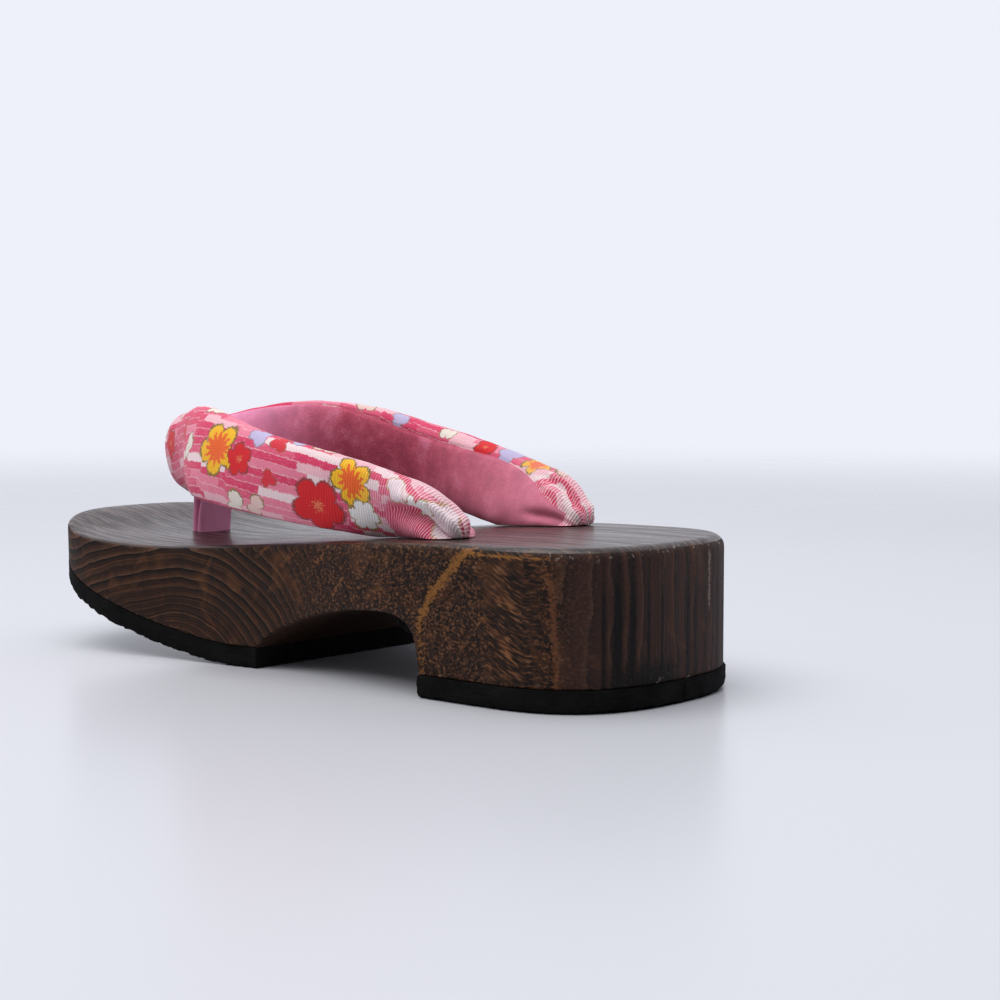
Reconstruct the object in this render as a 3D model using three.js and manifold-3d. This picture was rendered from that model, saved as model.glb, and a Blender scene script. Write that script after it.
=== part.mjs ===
// Geta sandal with a rounded heel block, foam rubber soles and a padded V strap.
//
// Millimetres. +Y points to the toe, +X to the wearer's right and +Z up. The origin lies on the
// ground under the middle of the sandal. Its outline is the same on both sides of the YZ plane.

import * as THREE from 'three';
import { mergeVertices } from 'three/addons/utils/BufferGeometryUtils.js';
import Module from 'manifold-3d';

// ---- driving dimensions ----------------------------------------------------------------------

const LENGTH = 236.1; // over the rubber
const HEEL_FLARE = 0.9; // how far the rubber stands out past the wood
const TOE_FLARE = 0.2;
const HEEL_END = -LENGTH / 2 + HEEL_FLARE; // the wood's two ends
const TOE_END = LENGTH / 2 - TOE_FLARE;
const GAP = 0.3; // between two pieces that touch

const HEEL_ROUNDNESS = 2.64; // superellipse exponents of the outline's ends
const TOE_ROUNDNESS = 2.26;

const RUBBER = 6.2; // thickness of both rubber soles
const SPRING_START = 24; // the toe spring leaves the ground here
const SPRING_LIFT = 28.4; // and has risen this far at the toe end
const SPRING_POWER = 1.6;
const FOREFOOT_START = 14.8; // rear edge of the forefoot at the rubber
const HEEL_FRONT = -56.8; // front edge of the heel block at the rubber
const ROOF_Y = -41.8; // highest line of the arch
const ROOF_Z = 22.8;

const REAR_HOLE = { x: 27.2, y: -55.6, exitY: -42.5, radius: 5 };
const TOE_HOLE = { y: 78.4, radius: 5, pocketRadius: 9, pocketTop: 28 };
const STEM_RADIUS = 4.2; // the cords that go down the holes
const KNOT = { radius: 6.2, height: 6.5, edge: 2.8 };
const TOE_KNOT = { radius: 7.6, height: 6, edge: 2.2 };

// The post leans back as it rises inside the V, and its loop goes over the strap to the front.
const POST = { width: 14.4, depth: 8.4, topY: 70.8, topZ: 76 };
const LOOP = { halfWidth: 3.6, back: 70.5, front: 95.6, bottom: 49.4, top: 76.6 };

// ---- tables: one row for each station ----------------------------------------------------------

// Half width of the wood along the foot.
const WIDTHS = [
  { y: -78.6, half: 41.8 },
  { y: -38.8, half: 41.0 },
  { y: 1.0, half: 36.3 },
  { y: 40.8, half: 40.4 },
  { y: 80.6, half: 46.6 },
];

// Height of the dished top, and the radius that its edge is rounded with.
const TOP = [
  { y: HEEL_END, z: 44.3, round: 3.6 },
  { y: -84, z: 44.1, round: 3.4 },
  { y: -51, z: 43.4, round: 2.8 },
  { y: -22, z: 41.4, round: 2.4 },
  { y: 5, z: 38.9, round: 2.2 },
  { y: 33, z: 36.6, round: 2.0 },
  { y: 61, z: 35.5, round: 1.9 },
  { y: 91, z: 37.6, round: 1.8 },
  { y: TOE_END, z: 42.9, round: 1.8 },
];

// One arm of the strap, from the middle over the toe post to its rear end. The band is an oval:
// its width stands up and leans outwards, and its thickness points out of the V.
const STRAP = [
  { at: 0, x: 0, y: 88.1, z: 62.2, width: 23, thickness: 11.8, lean: 9 },
  { at: 0.5, x: 4.7, y: 83.8, z: 62.5, width: 24, thickness: 12.8, lean: 9 },
  { at: 1, x: 9.9, y: 73.7, z: 63.3, width: 26.8, thickness: 13, lean: 8 },
  { at: 2, x: 22.7, y: 55, z: 64.5, width: 30.4, thickness: 12.8, lean: 1 },
  { at: 3, x: 34.9, y: 36, z: 64, width: 28, thickness: 12, lean: -11 },
  { at: 4, x: 38, y: 6.8, z: 59, width: 24.6, thickness: 11, lean: 1 },
  { at: 5, x: 28.8, y: -35.5, z: 51.8, width: 23.4, thickness: 11.4, lean: 33 },
  { at: 5.5, x: 27.4, y: -48.6, z: 48.4, width: 21.4, thickness: 13.2, lean: 37 },
  { at: 6, x: 27.6, y: -57, z: 44.2, width: 14.6, thickness: 12.8, lean: 42 },
];

// ---- smooth curves through the tables -----------------------------------------------------------

// Value of one column where another has a given value: cubic pieces that join smoothly and leave
// both ends of the table level.
function along(table, key, column, value) {
  const last = table.length - 1;
  const slope = (i) => {
    if (i === 0 || i === last) return 0;
    return (table[i + 1][column] - table[i - 1][column]) / (table[i + 1][key] - table[i - 1][key]);
  };
  const place = THREE.MathUtils.clamp(value, table[0][key], table[last][key]);
  let i = 0;
  while (i < last - 1 && table[i + 1][key] < place) i += 1;
  const step = table[i + 1][key] - table[i][key];
  const t = (place - table[i][key]) / step;
  const bend = t * t * (3 - 2 * t);
  const rise = t * (1 - t) * (1 - t) * slope(i) - t * t * (1 - t) * slope(i + 1);
  return THREE.MathUtils.lerp(table[i][column], table[i + 1][column], bend) + rise * step;
}

const topHeight = (y) => along(TOP, 'y', 'z', y);

// Underside of the wood's forefoot: level, then rising towards the toe.
function springHeight(y) {
  const share = Math.max(y - SPRING_START, 0) / (TOE_END - SPRING_START);
  return SPRING_LIFT * share ** SPRING_POWER;
}

// Right half of the outline, heel to toe: a superellipse, the waist, a superellipse.
function rightSide(steps = 11, waistSteps = 16) {
  const heel = WIDTHS[0];
  const toe = WIDTHS[WIDTHS.length - 1];
  const points = [];
  for (let i = 0; i <= steps; i += 1) {
    const angle = (i / steps) * (Math.PI / 2);
    const x = heel.half * Math.sin(angle) ** (2 / HEEL_ROUNDNESS);
    const y = heel.y - (heel.y - HEEL_END) * Math.cos(angle) ** (2 / HEEL_ROUNDNESS);
    points.push(new THREE.Vector2(x, y));
  }
  for (let i = 1; i < waistSteps; i += 1) {
    const y = THREE.MathUtils.lerp(heel.y, toe.y, i / waistSteps);
    points.push(new THREE.Vector2(along(WIDTHS, 'y', 'half', y), y));
  }
  for (let i = 0; i <= steps; i += 1) {
    const angle = (i / steps) * (Math.PI / 2);
    const x = i === steps ? 0 : toe.half * Math.cos(angle) ** (2 / TOE_ROUNDNESS);
    const y = toe.y + (TOE_END - toe.y) * Math.sin(angle) ** (2 / TOE_ROUNDNESS);
    points.push(new THREE.Vector2(x, y));
  }
  return points;
}

// The right half moved outwards by a distance that may change along the foot.
function offsetSide(side, distance) {
  return side.map((point, i) => {
    if (i === 0) return new THREE.Vector2(0, point.y - distance(point.y));
    if (i === side.length - 1) return new THREE.Vector2(0, point.y + distance(point.y));
    const run = side[i + 1].clone().sub(side[i - 1]).normalize();
    return new THREE.Vector2(point.x + run.y * distance(point.y), point.y - run.x * distance(point.y));
  });
}

// ---- solids ---------------------------------------------------------------------------------

const wasm = await Module();
wasm.setup();

function toSolid(geometry) {
  const bare = geometry.clone();
  bare.deleteAttribute('normal');
  bare.deleteAttribute('uv');
  const merged = mergeVertices(bare, 1e-4);
  const mesh = new wasm.Mesh({
    numProp: 3,
    vertProperties: new Float32Array(merged.attributes.position.array),
    triVerts: new Uint32Array(merged.index.array),
  });
  return new wasm.Manifold(mesh);
}

function toGeometry(solid) {
  const mesh = solid.getMesh();
  const geometry = new THREE.BufferGeometry();
  geometry.setAttribute('position', new THREE.BufferAttribute(mesh.vertProperties, 3));
  geometry.setIndex(new THREE.BufferAttribute(mesh.triVerts, 1));
  geometry.computeVertexNormals();
  return geometry;
}

// Closed skin over rings of equally many points. A flat cap closes an end whose ring is convex;
// caps that join opposite points instead follow a surface that is curved along the foot.
function skin(rings, capAcross = false) {
  const count = rings[0].length;
  const positions = rings.flat().flatMap((point) => [point.x, point.y, point.z]);
  const faces = [];
  for (let ring = 0; ring < rings.length - 1; ring += 1) {
    for (let i = 0; i < count; i += 1) {
      const a = ring * count + i;
      const b = ring * count + ((i + 1) % count);
      faces.push(a, b, b + count, a, b + count, a + count);
    }
  }
  const top = (rings.length - 1) * count;
  if (capAcross) {
    for (let i = 0; i < count / 2; i += 1) {
      const [a, b] = [i, i + 1];
      const [c, d] = [(count - i) % count, count - i - 1];
      if (c !== a) faces.push(c, b, a, top + a, top + b, top + c);
      if (d !== b) faces.push(c, d, b, top + b, top + d, top + c);
    }
  } else {
    for (let i = 1; i < count - 1; i += 1) faces.push(0, i + 1, i, top, top + i, top + i + 1);
  }
  const geometry = new THREE.BufferGeometry();
  geometry.setAttribute('position', new THREE.Float32BufferAttribute(positions, 3));
  geometry.setIndex(faces);
  return geometry;
}

// Full ring of the outline, heel point first, running up the right side and back down the left.
function fullRing(side, height) {
  const right = side.map((point) => new THREE.Vector3(point.x, point.y, height(point.y)));
  const left = side.slice(1, -1).reverse();
  return right.concat(left.map((point) => new THREE.Vector3(-point.x, point.y, height(point.y))));
}

// A shape drawn in (y, z), made into a bar across the whole width.
function acrossFoot(shape, halfWidth = 80) {
  const geometry = new THREE.ExtrudeGeometry(shape, {
    depth: 2 * halfWidth,
    bevelEnabled: false,
    curveSegments: 14,
  });
  geometry.applyMatrix4(new THREE.Matrix4().makeBasis(
    new THREE.Vector3(0, 1, 0),
    new THREE.Vector3(0, 0, 1),
    new THREE.Vector3(1, 0, 0),
  ));
  geometry.translate(-halfWidth, 0, 0);
  return toSolid(geometry);
}

// Points (y, z) of the toe spring from the forefoot's rear edge to past the toe.
function springPoints(lift) {
  const points = [];
  const steps = 16;
  const end = TOE_END + 4;
  for (let i = 0; i <= steps; i += 1) {
    const y = THREE.MathUtils.lerp(SPRING_START, end, i / steps);
    points.push(new THREE.Vector2(y, springHeight(y) + lift));
  }
  return points;
}

function cylinder(radius, from, to, sides = 20) {
  const axis = to.clone().sub(from);
  const geometry = new THREE.CylinderGeometry(radius, radius, axis.length(), sides);
  geometry.applyQuaternion(new THREE.Quaternion().setFromUnitVectors(
    new THREE.Vector3(0, 1, 0),
    axis.clone().normalize(),
  ));
  const middle = from.clone().add(to).multiplyScalar(0.5);
  geometry.translate(middle.x, middle.y, middle.z);
  return toSolid(geometry);
}

// ---- wooden body ------------------------------------------------------------------------------

// Where a rear hole's middle line crosses a height.
function rearHoleAt(side, z) {
  const deck = topHeight(REAR_HOLE.y);
  const share = (deck - z) / (deck - ROOF_Z);
  const y = THREE.MathUtils.lerp(REAR_HOLE.y, REAR_HOLE.exitY, share);
  return new THREE.Vector3(side * REAR_HOLE.x, y, z);
}

// Everything under the wood: the ground, the arch and the toe spring.
function belowWood() {
  const shape = new THREE.Shape();
  shape.moveTo(HEEL_END - 10, -20);
  shape.lineTo(TOE_END + 4, -20);
  for (const point of springPoints(RUBBER + GAP).reverse()) shape.lineTo(point.x, point.y);
  shape.lineTo(FOREFOOT_START, RUBBER + GAP);
  shape.bezierCurveTo(FOREFOOT_START - 9, 16.2, ROOF_Y + 21.5, ROOF_Z - 0.2, ROOF_Y, ROOF_Z);
  shape.bezierCurveTo(ROOF_Y - 8.4, ROOF_Z, ROOF_Y - 13.1, 19.4, ROOF_Y - 13.6, 13.3);
  shape.lineTo(HEEL_FRONT, RUBBER + GAP);
  shape.lineTo(HEEL_END - 10, RUBBER + GAP);
  shape.closePath();
  return acrossFoot(shape);
}

function woodBody() {
  const side = rightSide();
  const round = (y) => along(TOP, 'y', 'round', y);
  const rings = [fullRing(side, () => 0)];
  const steps = 4;
  for (let i = 0; i <= steps; i += 1) {
    const angle = (i / steps) * (Math.PI / 2);
    const inset = offsetSide(side, (y) => -round(y) * (1 - Math.cos(angle)));
    rings.push(fullRing(inset, (y) => topHeight(y) - round(y) * (1 - Math.sin(angle))));
  }
  let wood = toSolid(skin(rings, true)).subtract(belowWood());
  for (const sign of [-1, 1]) {
    wood = wood.subtract(cylinder(REAR_HOLE.radius, rearHoleAt(sign, 60), rearHoleAt(sign, 14)));
  }
  const toe = (z) => new THREE.Vector3(0, TOE_HOLE.y, z);
  wood = wood.subtract(cylinder(TOE_HOLE.radius, toe(60), toe(TOE_HOLE.pocketTop - 2)));
  return wood.subtract(cylinder(TOE_HOLE.pocketRadius, toe(TOE_HOLE.pocketTop), toe(0), 28));
}

// ---- rubber soles -------------------------------------------------------------------------------

// The outline standing out past the wood, a little more at the heel than at the toe.
function rubberPrism() {
  const flare = (y) => {
    const share = THREE.MathUtils.smoothstep(y, HEEL_FRONT, SPRING_START);
    return THREE.MathUtils.lerp(HEEL_FLARE, TOE_FLARE, share);
  };
  const side = offsetSide(rightSide(), flare);
  return toSolid(skin([fullRing(side, () => -1), fullRing(side, () => 60)], true));
}

function heelRubber() {
  const shape = new THREE.Shape();
  shape.moveTo(-LENGTH, 0);
  shape.lineTo(HEEL_FRONT - 0.4, 0);
  shape.lineTo(HEEL_FRONT, RUBBER);
  shape.lineTo(-LENGTH, RUBBER);
  shape.closePath();
  return rubberPrism().intersect(acrossFoot(shape));
}

function forefootRubber() {
  const shape = new THREE.Shape();
  shape.moveTo(FOREFOOT_START, RUBBER);
  shape.lineTo(FOREFOOT_START + 0.6, 0);
  for (const point of springPoints(0)) shape.lineTo(point.x, point.y);
  for (const point of springPoints(RUBBER).reverse()) shape.lineTo(point.x, point.y);
  shape.closePath();
  return rubberPrism().intersect(acrossFoot(shape));
}

// ---- strap ----------------------------------------------------------------------------------

const STRAP_END = STRAP[STRAP.length - 1].at;
const SECTION_SIDES = 24;
const SECTION_POWER = 2.3;

// Middle of the strap at a place from -STRAP_END (left end) over 0 (toe) to STRAP_END (right end).
function strapMiddle(at) {
  const place = Math.abs(at);
  const rowAfter = STRAP.findIndex((row) => row.at >= place);
  const i = Math.max(rowAfter - 1, 0);
  const row = (index) => {
    const [side, line] = index < 0 ? [-1, STRAP[-index]] : [1, STRAP[Math.min(index, STRAP.length - 1)]];
    return new THREE.Vector3(side * line.x, line.y, line.z);
  };
  const t = (place - STRAP[i].at) / (STRAP[i + 1].at - STRAP[i].at);
  const curve = new THREE.CatmullRomCurve3([row(i - 1), row(i), row(i + 1), row(i + 2)], false, 'centripetal');
  const point = curve.getPoint((1 + t) / 3);
  if (at < 0) point.x = -point.x;
  return point;
}

// Cosine or sine pushed outwards, which squares an ellipse's corners a little.
const rounded = (value) => Math.sign(value) * Math.abs(value) ** (2 / SECTION_POWER);

// One oval section of the strap, grown by a margin all round.
function strapSection(at, margin, shrink = 1) {
  const place = Math.abs(at);
  const middle = strapMiddle(at);
  const ahead = strapMiddle(Math.min(at + 0.02, STRAP_END));
  const run = ahead.sub(strapMiddle(Math.max(at - 0.02, -STRAP_END))).normalize();
  const out = new THREE.Vector3(-run.y, run.x, 0).normalize();
  const up = run.clone().cross(out).negate();
  if (up.z < 0) up.negate();
  const lean = THREE.MathUtils.degToRad(along(STRAP, 'at', 'lean', place));
  const wide = up.clone().multiplyScalar(Math.cos(lean)).addScaledVector(out, Math.sin(lean));
  const thick = out.clone().multiplyScalar(Math.cos(lean)).addScaledVector(up, -Math.sin(lean));
  const halfWidth = (along(STRAP, 'at', 'width', place) / 2) * shrink + margin;
  const halfThickness = (along(STRAP, 'at', 'thickness', place) / 2) * shrink + margin;
  const ring = [];
  for (let i = 0; i < SECTION_SIDES; i += 1) {
    const angle = (i / SECTION_SIDES) * 2 * Math.PI;
    const point = middle.clone().addScaledVector(thick, halfThickness * rounded(Math.cos(angle)));
    ring.push(point.addScaledVector(wide, halfWidth * rounded(Math.sin(angle))));
  }
  return ring;
}

// One arm grown by a margin, from the middle over the toe to its rounded rear end. Near the middle
// its inner face crosses to the other side, and it is cut off there.
function strapArm(sign, margin) {
  const rings = [];
  const steps = 24;
  for (let i = 0; i <= steps; i += 1) {
    rings.push(strapSection(sign * STRAP_END * (i / steps), margin));
  }
  const end = strapMiddle(sign * STRAP_END);
  const run = end.clone().sub(strapMiddle(sign * (STRAP_END - 0.05))).normalize();
  for (const { past, size } of [{ past: 2.2, size: 0.86 }, { past: 3.8, size: 0.55 }]) {
    const ring = strapSection(sign * STRAP_END, margin, size);
    rings.push(ring.map((point) => point.addScaledVector(run, past)));
  }
  if (sign < 0) rings.reverse();
  const half = new THREE.BoxGeometry(120, 400, 200);
  half.translate(sign * 60, 0, 0);
  return toSolid(skin(rings)).intersect(toSolid(half));
}

const strapBand = (margin) => strapArm(1, margin).add(strapArm(-1, margin));

// Everything up to just above the dished top.
function belowStrap() {
  const shape = new THREE.Shape();
  shape.moveTo(HEEL_END - 10, -20);
  shape.lineTo(TOE_END + 10, -20);
  const steps = 60;
  for (let i = 0; i <= steps; i += 1) {
    const y = THREE.MathUtils.lerp(TOE_END + 10, HEEL_END - 10, i / steps);
    shape.lineTo(y, topHeight(y) + GAP);
  }
  shape.closePath();
  return acrossFoot(shape);
}

function strap() {
  let solid = strapBand(0).subtract(belowStrap());
  for (const sign of [-1, 1]) {
    const inStrap = rearHoleAt(sign, topHeight(REAR_HOLE.y) + 5);
    solid = solid.add(cylinder(STEM_RADIUS, inStrap, rearHoleAt(sign, ROOF_Z + STEM_RADIUS / 2)));
  }
  return solid;
}

// ---- toe post: the loop that holds the strap down -------------------------------------------------

function toePost() {
  const foot = new THREE.Vector3(0, TOE_HOLE.y, topHeight(TOE_HOLE.y) - 4);
  const rise = new THREE.Vector3(0, POST.topY, POST.topZ).sub(foot);
  const section = new THREE.Shape();
  section.absellipse(0, 0, POST.width / 2, POST.depth / 2, 0, 2 * Math.PI, false, 0);
  const geometry = new THREE.ExtrudeGeometry(section, {
    depth: rise.length(),
    bevelEnabled: false,
    curveSegments: 20,
  });
  geometry.applyQuaternion(new THREE.Quaternion().setFromUnitVectors(
    new THREE.Vector3(0, 0, 1),
    rise.clone().normalize(),
  ));
  geometry.translate(foot.x, foot.y, foot.z);
  const oval = new THREE.Shape();
  const sides = 28;
  for (let i = 0; i < sides; i += 1) {
    const angle = (i / sides) * 2 * Math.PI;
    const y = THREE.MathUtils.lerp(LOOP.back, LOOP.front, 0.5 + rounded(Math.cos(angle)) / 2);
    const z = THREE.MathUtils.lerp(LOOP.bottom, LOOP.top, 0.5 + rounded(Math.sin(angle)) / 2);
    if (i === 0) oval.moveTo(y, z);
    else oval.lineTo(y, z);
  }
  oval.closePath();
  const toe = (z) => new THREE.Vector3(0, TOE_HOLE.y, z);
  return toSolid(geometry)
    .subtract(belowStrap())
    .add(acrossFoot(oval, LOOP.halfWidth))
    .subtract(strapBand(GAP))
    .add(cylinder(STEM_RADIUS, toe(topHeight(TOE_HOLE.y) + 4), toe(TOE_HOLE.pocketTop - 0.2)));
}

// ---- knots under the three holes ------------------------------------------------------------------

function knotGeometry({ radius, height, edge }) {
  const profile = [new THREE.Vector2(0, 0)];
  const steps = 3;
  for (const top of [false, true]) {
    for (let i = 0; i <= steps; i += 1) {
      const angle = (i / steps) * (Math.PI / 2);
      const out = top ? Math.cos(angle) : Math.sin(angle);
      const y = top ? height - edge * (1 - Math.sin(angle)) : edge * (1 - Math.cos(angle));
      profile.push(new THREE.Vector2(radius - edge * (1 - out), y));
    }
  }
  profile.push(new THREE.Vector2(0, height));
  const geometry = new THREE.LatheGeometry(profile, 16);
  geometry.rotateX(Math.PI / 2);
  return geometry;
}

// ---- assembly -------------------------------------------------------------------------------

const finishes = {
  wood: { color: 0x3b261d, roughness: 0.38, metalness: 0 },
  rubber: { color: 0x17181a, roughness: 0.85, metalness: 0 },
  crepe: { color: 0xe5708f, roughness: 0.8, metalness: 0 },
  velvet: { color: 0xc0607f, roughness: 0.9, metalness: 0 },
  cord: { color: 0x1c1719, roughness: 0.9, metalness: 0 },
};

const geta = new THREE.Group();

function addPiece(name, geometry, finish) {
  const mesh = new THREE.Mesh(geometry, new THREE.MeshStandardMaterial(finishes[finish]));
  mesh.name = name;
  geta.add(mesh);
  return mesh;
}

addPiece('wood_body', toGeometry(woodBody()), 'wood');
addPiece('heel_rubber', toGeometry(heelRubber()), 'rubber');
addPiece('forefoot_rubber', toGeometry(forefootRubber()), 'rubber');
addPiece('strap', toGeometry(strap()), 'crepe');
addPiece('toe_post', toGeometry(toePost()), 'velvet');

for (const [name, sign] of [['left', -1], ['right', 1]]) {
  const knot = addPiece(`rear_knot_${name}`, knotGeometry(KNOT), 'cord');
  knot.position.set(sign * REAR_HOLE.x, REAR_HOLE.exitY, ROOF_Z - KNOT.height - 2 * GAP);
}

const toeKnot = addPiece('toe_knot', knotGeometry(TOE_KNOT), 'cord');
toeKnot.position.set(0, TOE_HOLE.y, TOE_HOLE.pocketTop - TOE_KNOT.height - 2 * GAP);

export default geta;
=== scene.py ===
import math
from functools import partial

import bmesh
import bpy
import numpy as np
from mathutils import Matrix, Vector


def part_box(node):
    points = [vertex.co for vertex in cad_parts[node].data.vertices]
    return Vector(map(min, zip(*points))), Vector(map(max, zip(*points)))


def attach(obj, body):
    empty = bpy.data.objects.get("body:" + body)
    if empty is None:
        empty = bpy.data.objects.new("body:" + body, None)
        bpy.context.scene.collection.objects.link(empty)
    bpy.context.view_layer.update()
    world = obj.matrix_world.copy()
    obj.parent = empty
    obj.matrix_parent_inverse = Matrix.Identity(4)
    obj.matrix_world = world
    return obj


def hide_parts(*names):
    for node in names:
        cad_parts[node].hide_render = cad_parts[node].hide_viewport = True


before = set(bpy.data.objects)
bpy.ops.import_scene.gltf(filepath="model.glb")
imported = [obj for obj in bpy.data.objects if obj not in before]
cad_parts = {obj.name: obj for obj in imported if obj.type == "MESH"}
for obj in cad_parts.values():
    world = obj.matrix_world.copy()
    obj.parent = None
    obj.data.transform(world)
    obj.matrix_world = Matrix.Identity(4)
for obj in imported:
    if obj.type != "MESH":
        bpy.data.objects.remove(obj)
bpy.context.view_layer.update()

bl_info = {
    "name": "Geta sandal",
    "version": (1, 0, 0),
    "blender": (4, 5, 0),
    "location": "View3D > Sidebar > Geta",
    "description": "Builds a wooden geta with foam rubber soles and a padded, printed strap",
    "category": "Object",
}

MM = 0.001  # every table below is in millimetres, and every object in metres

# ---- sizes shared by the pieces ----

WOOD_LOW, WOOD_HIGH = (Vector(corner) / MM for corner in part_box("wood_body"))
HEEL_END, TOE_END = WOOD_LOW.y, WOOD_HIGH.y
SOLE_LOW, SOLE_HIGH = (Vector(corner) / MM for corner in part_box("heel_rubber"))
RUBBER = SOLE_HIGH.z
HEEL_FLARE = HEEL_END - SOLE_LOW.y
TOE_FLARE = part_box("forefoot_rubber")[1].y / MM - TOE_END
WOOD_BOTTOM = WOOD_LOW.z
GAP = WOOD_BOTTOM - RUBBER

HEEL_ROUNDNESS, TOE_ROUNDNESS = 2.64, 2.26  # superellipse exponents of the outline's ends
HEEL_FRONT = SOLE_HIGH.y
FOREFOOT_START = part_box("forefoot_rubber")[0].y / MM
SPRING_START, SPRING_LIFT, SPRING_POWER = 24.0, 28.4, 1.6  # the toe spring's curve
ROOF_Y, ROOF_Z = -41.8, 22.8  # the highest place of the arch

REAR_HOLE = {"x": 27.2, "y": -55.6, "exit_y": -42.5, "radius": 5.0}
TOE_HOLE = {"y": 78.4, "radius": 5.0, "pocket_radius": 9.0, "pocket_top": 28.0}

# Half width of the wood along the foot: y, half width.
WIDTHS = np.array([
    (-78.6, 41.8),
    (-38.8, 41.0),
    (1.0, 36.3),
    (40.8, 40.4),
    (80.6, 46.6),
])

# The dished top: y, height, radius of its rounded edge.
TOP = np.array([
    (HEEL_END, 44.3, 3.6),
    (-84.0, 44.1, 3.4),
    (-51.0, 43.4, 2.8),
    (-22.0, 41.4, 2.4),
    (5.0, 38.9, 2.2),
    (33.0, 36.6, 2.0),
    (61.0, 35.5, 1.9),
    (91.0, 37.6, 1.8),
    (TOE_END, 42.9, 1.8),
])

# One arm of the strap from the toe to its rear end:
# place, middle x y z, width that stands up, thickness that points out, lean in degrees.
STRAP = np.array([
    (0.0, 0.0, 88.1, 61.7, 22.2, 11.8, 9.0),
    (0.5, 4.7, 83.8, 61.6, 22.6, 12.8, 9.0),
    (1.0, 9.9, 73.7, 62.7, 25.6, 13.0, 8.0),
    (2.0, 22.7, 55.0, 64.5, 30.4, 12.8, 1.0),
    (3.0, 34.9, 36.0, 64.0, 28.0, 12.0, -11.0),
    (4.0, 38.0, 6.8, 59.0, 24.6, 11.0, 1.0),
    (5.0, 28.8, -35.5, 51.8, 23.4, 11.4, 33.0),
    (5.5, 27.4, -48.6, 48.4, 21.4, 13.2, 37.0),
    (6.0, 27.6, -57.0, 44.2, 14.6, 12.8, 42.0),
])
STRAP_END = 6.0
STRAP_SQUARENESS = 2.3  # superellipse exponent of the strap's section


def linear(code, alpha=True):
    """sRGB hex to the linear colour that shaders and lights take."""
    parts = [int(code[i : i + 2], 16) / 255 for i in (1, 3, 5)]
    flat = [c / 12.92 if c <= 0.04045 else ((c + 0.055) / 1.055) ** 2.4 for c in parts]
    return (*flat, 1.0) if alpha else tuple(flat)


def smoothstep(low, high, value):
    """0 up to low and 1 from high on, smooth in between; low may also be the larger one."""
    share = np.clip((np.asarray(value, float) - low) / (high - low), 0, 1)
    return share * share * (3 - 2 * share)


def hump(away, half=1.0):
    """1 in the middle, falling off like a bell to 1/e at half its width."""
    return np.exp(-((away / half) ** 2))


def squared(value, exponent):
    """A cosine or sine bent to a superellipse's."""
    return np.sign(value) * np.abs(value) ** (2 / exponent)


def unit(vectors):
    """The same directions at length 1."""
    return vectors / np.linalg.norm(vectors, axis=-1, keepdims=True)


def along(table, column, value):
    """A column of a table, read smoothly at a value of its first column, level at both ends."""
    keys, values = table[:, 0], table[:, column]
    slopes = np.zeros_like(values)
    slopes[1:-1] = (values[2:] - values[:-2]) / (keys[2:] - keys[:-2])
    place = np.clip(np.asarray(value, float), keys[0], keys[-1])
    i = np.clip(np.searchsorted(keys, place) - 1, 0, len(keys) - 2)
    step = keys[i + 1] - keys[i]
    t = (place - keys[i]) / step
    bend = t * t * (3 - 2 * t)
    rise = t * (1 - t) ** 2 * slopes[i] - t * t * (1 - t) * slopes[i + 1]
    return values[i] * (1 - bend) + values[i + 1] * bend + rise * step


def ripple(seed, *coordinates, spread=1.0, waves=7):
    """A smooth random field from -1 to 1, about one hump for each unit of spread."""
    rng = np.random.default_rng(seed)
    total = 0
    for _ in range(waves):
        pitch = rng.normal(size=len(coordinates)) * 2.2 / spread
        phase = rng.uniform(0, 2 * np.pi)
        total = total + np.sin(sum(p * c for p, c in zip(pitch, coordinates)) + phase)
    return total / waves * 1.6


# ---- mesh and shader helpers ----


def grid_faces(rows, columns, closed=False, first=0, flip=False):
    """Quads over rows of equally many points; closed joins each row's end to its start."""
    r, c = np.meshgrid(np.arange(rows - 1), np.arange(columns if closed else columns - 1), indexing="ij")
    near, far = r * columns, (r + 1) * columns
    after = (c + 1) % columns
    quads = np.stack([near + c, near + after, far + after, far + c], -1).reshape(-1, 4) + first
    return quads[:, ::-1] if flip else quads


def tube_faces(rows, sides):
    """Quads over rings of points, closed by a face at each end."""
    caps = [range(sides - 1, -1, -1), range((rows - 1) * sides, rows * sides)]
    return [*grid_faces(rows, sides, closed=True), *caps]


def new_object(name, data):
    made = bpy.data.objects.new(name, data)
    bpy.context.scene.collection.objects.link(made)
    return made


def make_piece(name, points, faces, weld=1e-4):
    """A smooth shaded mesh object from points in millimetres, with points that coincide joined."""
    mesh = bpy.data.meshes.new(name)
    mesh.from_pydata((np.asarray(points, float) * MM).tolist(), [], [list(map(int, f)) for f in faces])
    if weld:
        work = bmesh.new()
        work.from_mesh(mesh)
        bmesh.ops.remove_doubles(work, verts=work.verts, dist=weld * MM)
        bmesh.ops.dissolve_degenerate(work, edges=work.edges, dist=weld * MM * 0.5)
        work.to_mesh(mesh)
        work.free()
    made = new_object(name, mesh)
    smooth(made)
    return made


def smooth(made, angle=40):
    """Smooth shading, with edges kept sharp where the faces meet at more than an angle."""
    mesh = made.data
    mesh.polygons.foreach_set("use_smooth", np.ones(len(mesh.polygons), bool))
    mesh.set_sharp_from_angle(angle=math.radians(angle))
    mesh.update()


def places(made):
    """The points of a piece in millimetres."""
    found = np.zeros(len(made.data.vertices) * 3, np.float32)
    made.data.vertices.foreach_get("co", found)
    return found.reshape(-1, 3).astype(float) / MM


def write_field(made, name, values):
    """Stores one number for each point, for the piece's material to read."""
    field = made.data.attributes.get(name) or made.data.attributes.new(name, "FLOAT", "POINT")
    field.data.foreach_set("value", np.asarray(values, np.float32))


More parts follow.
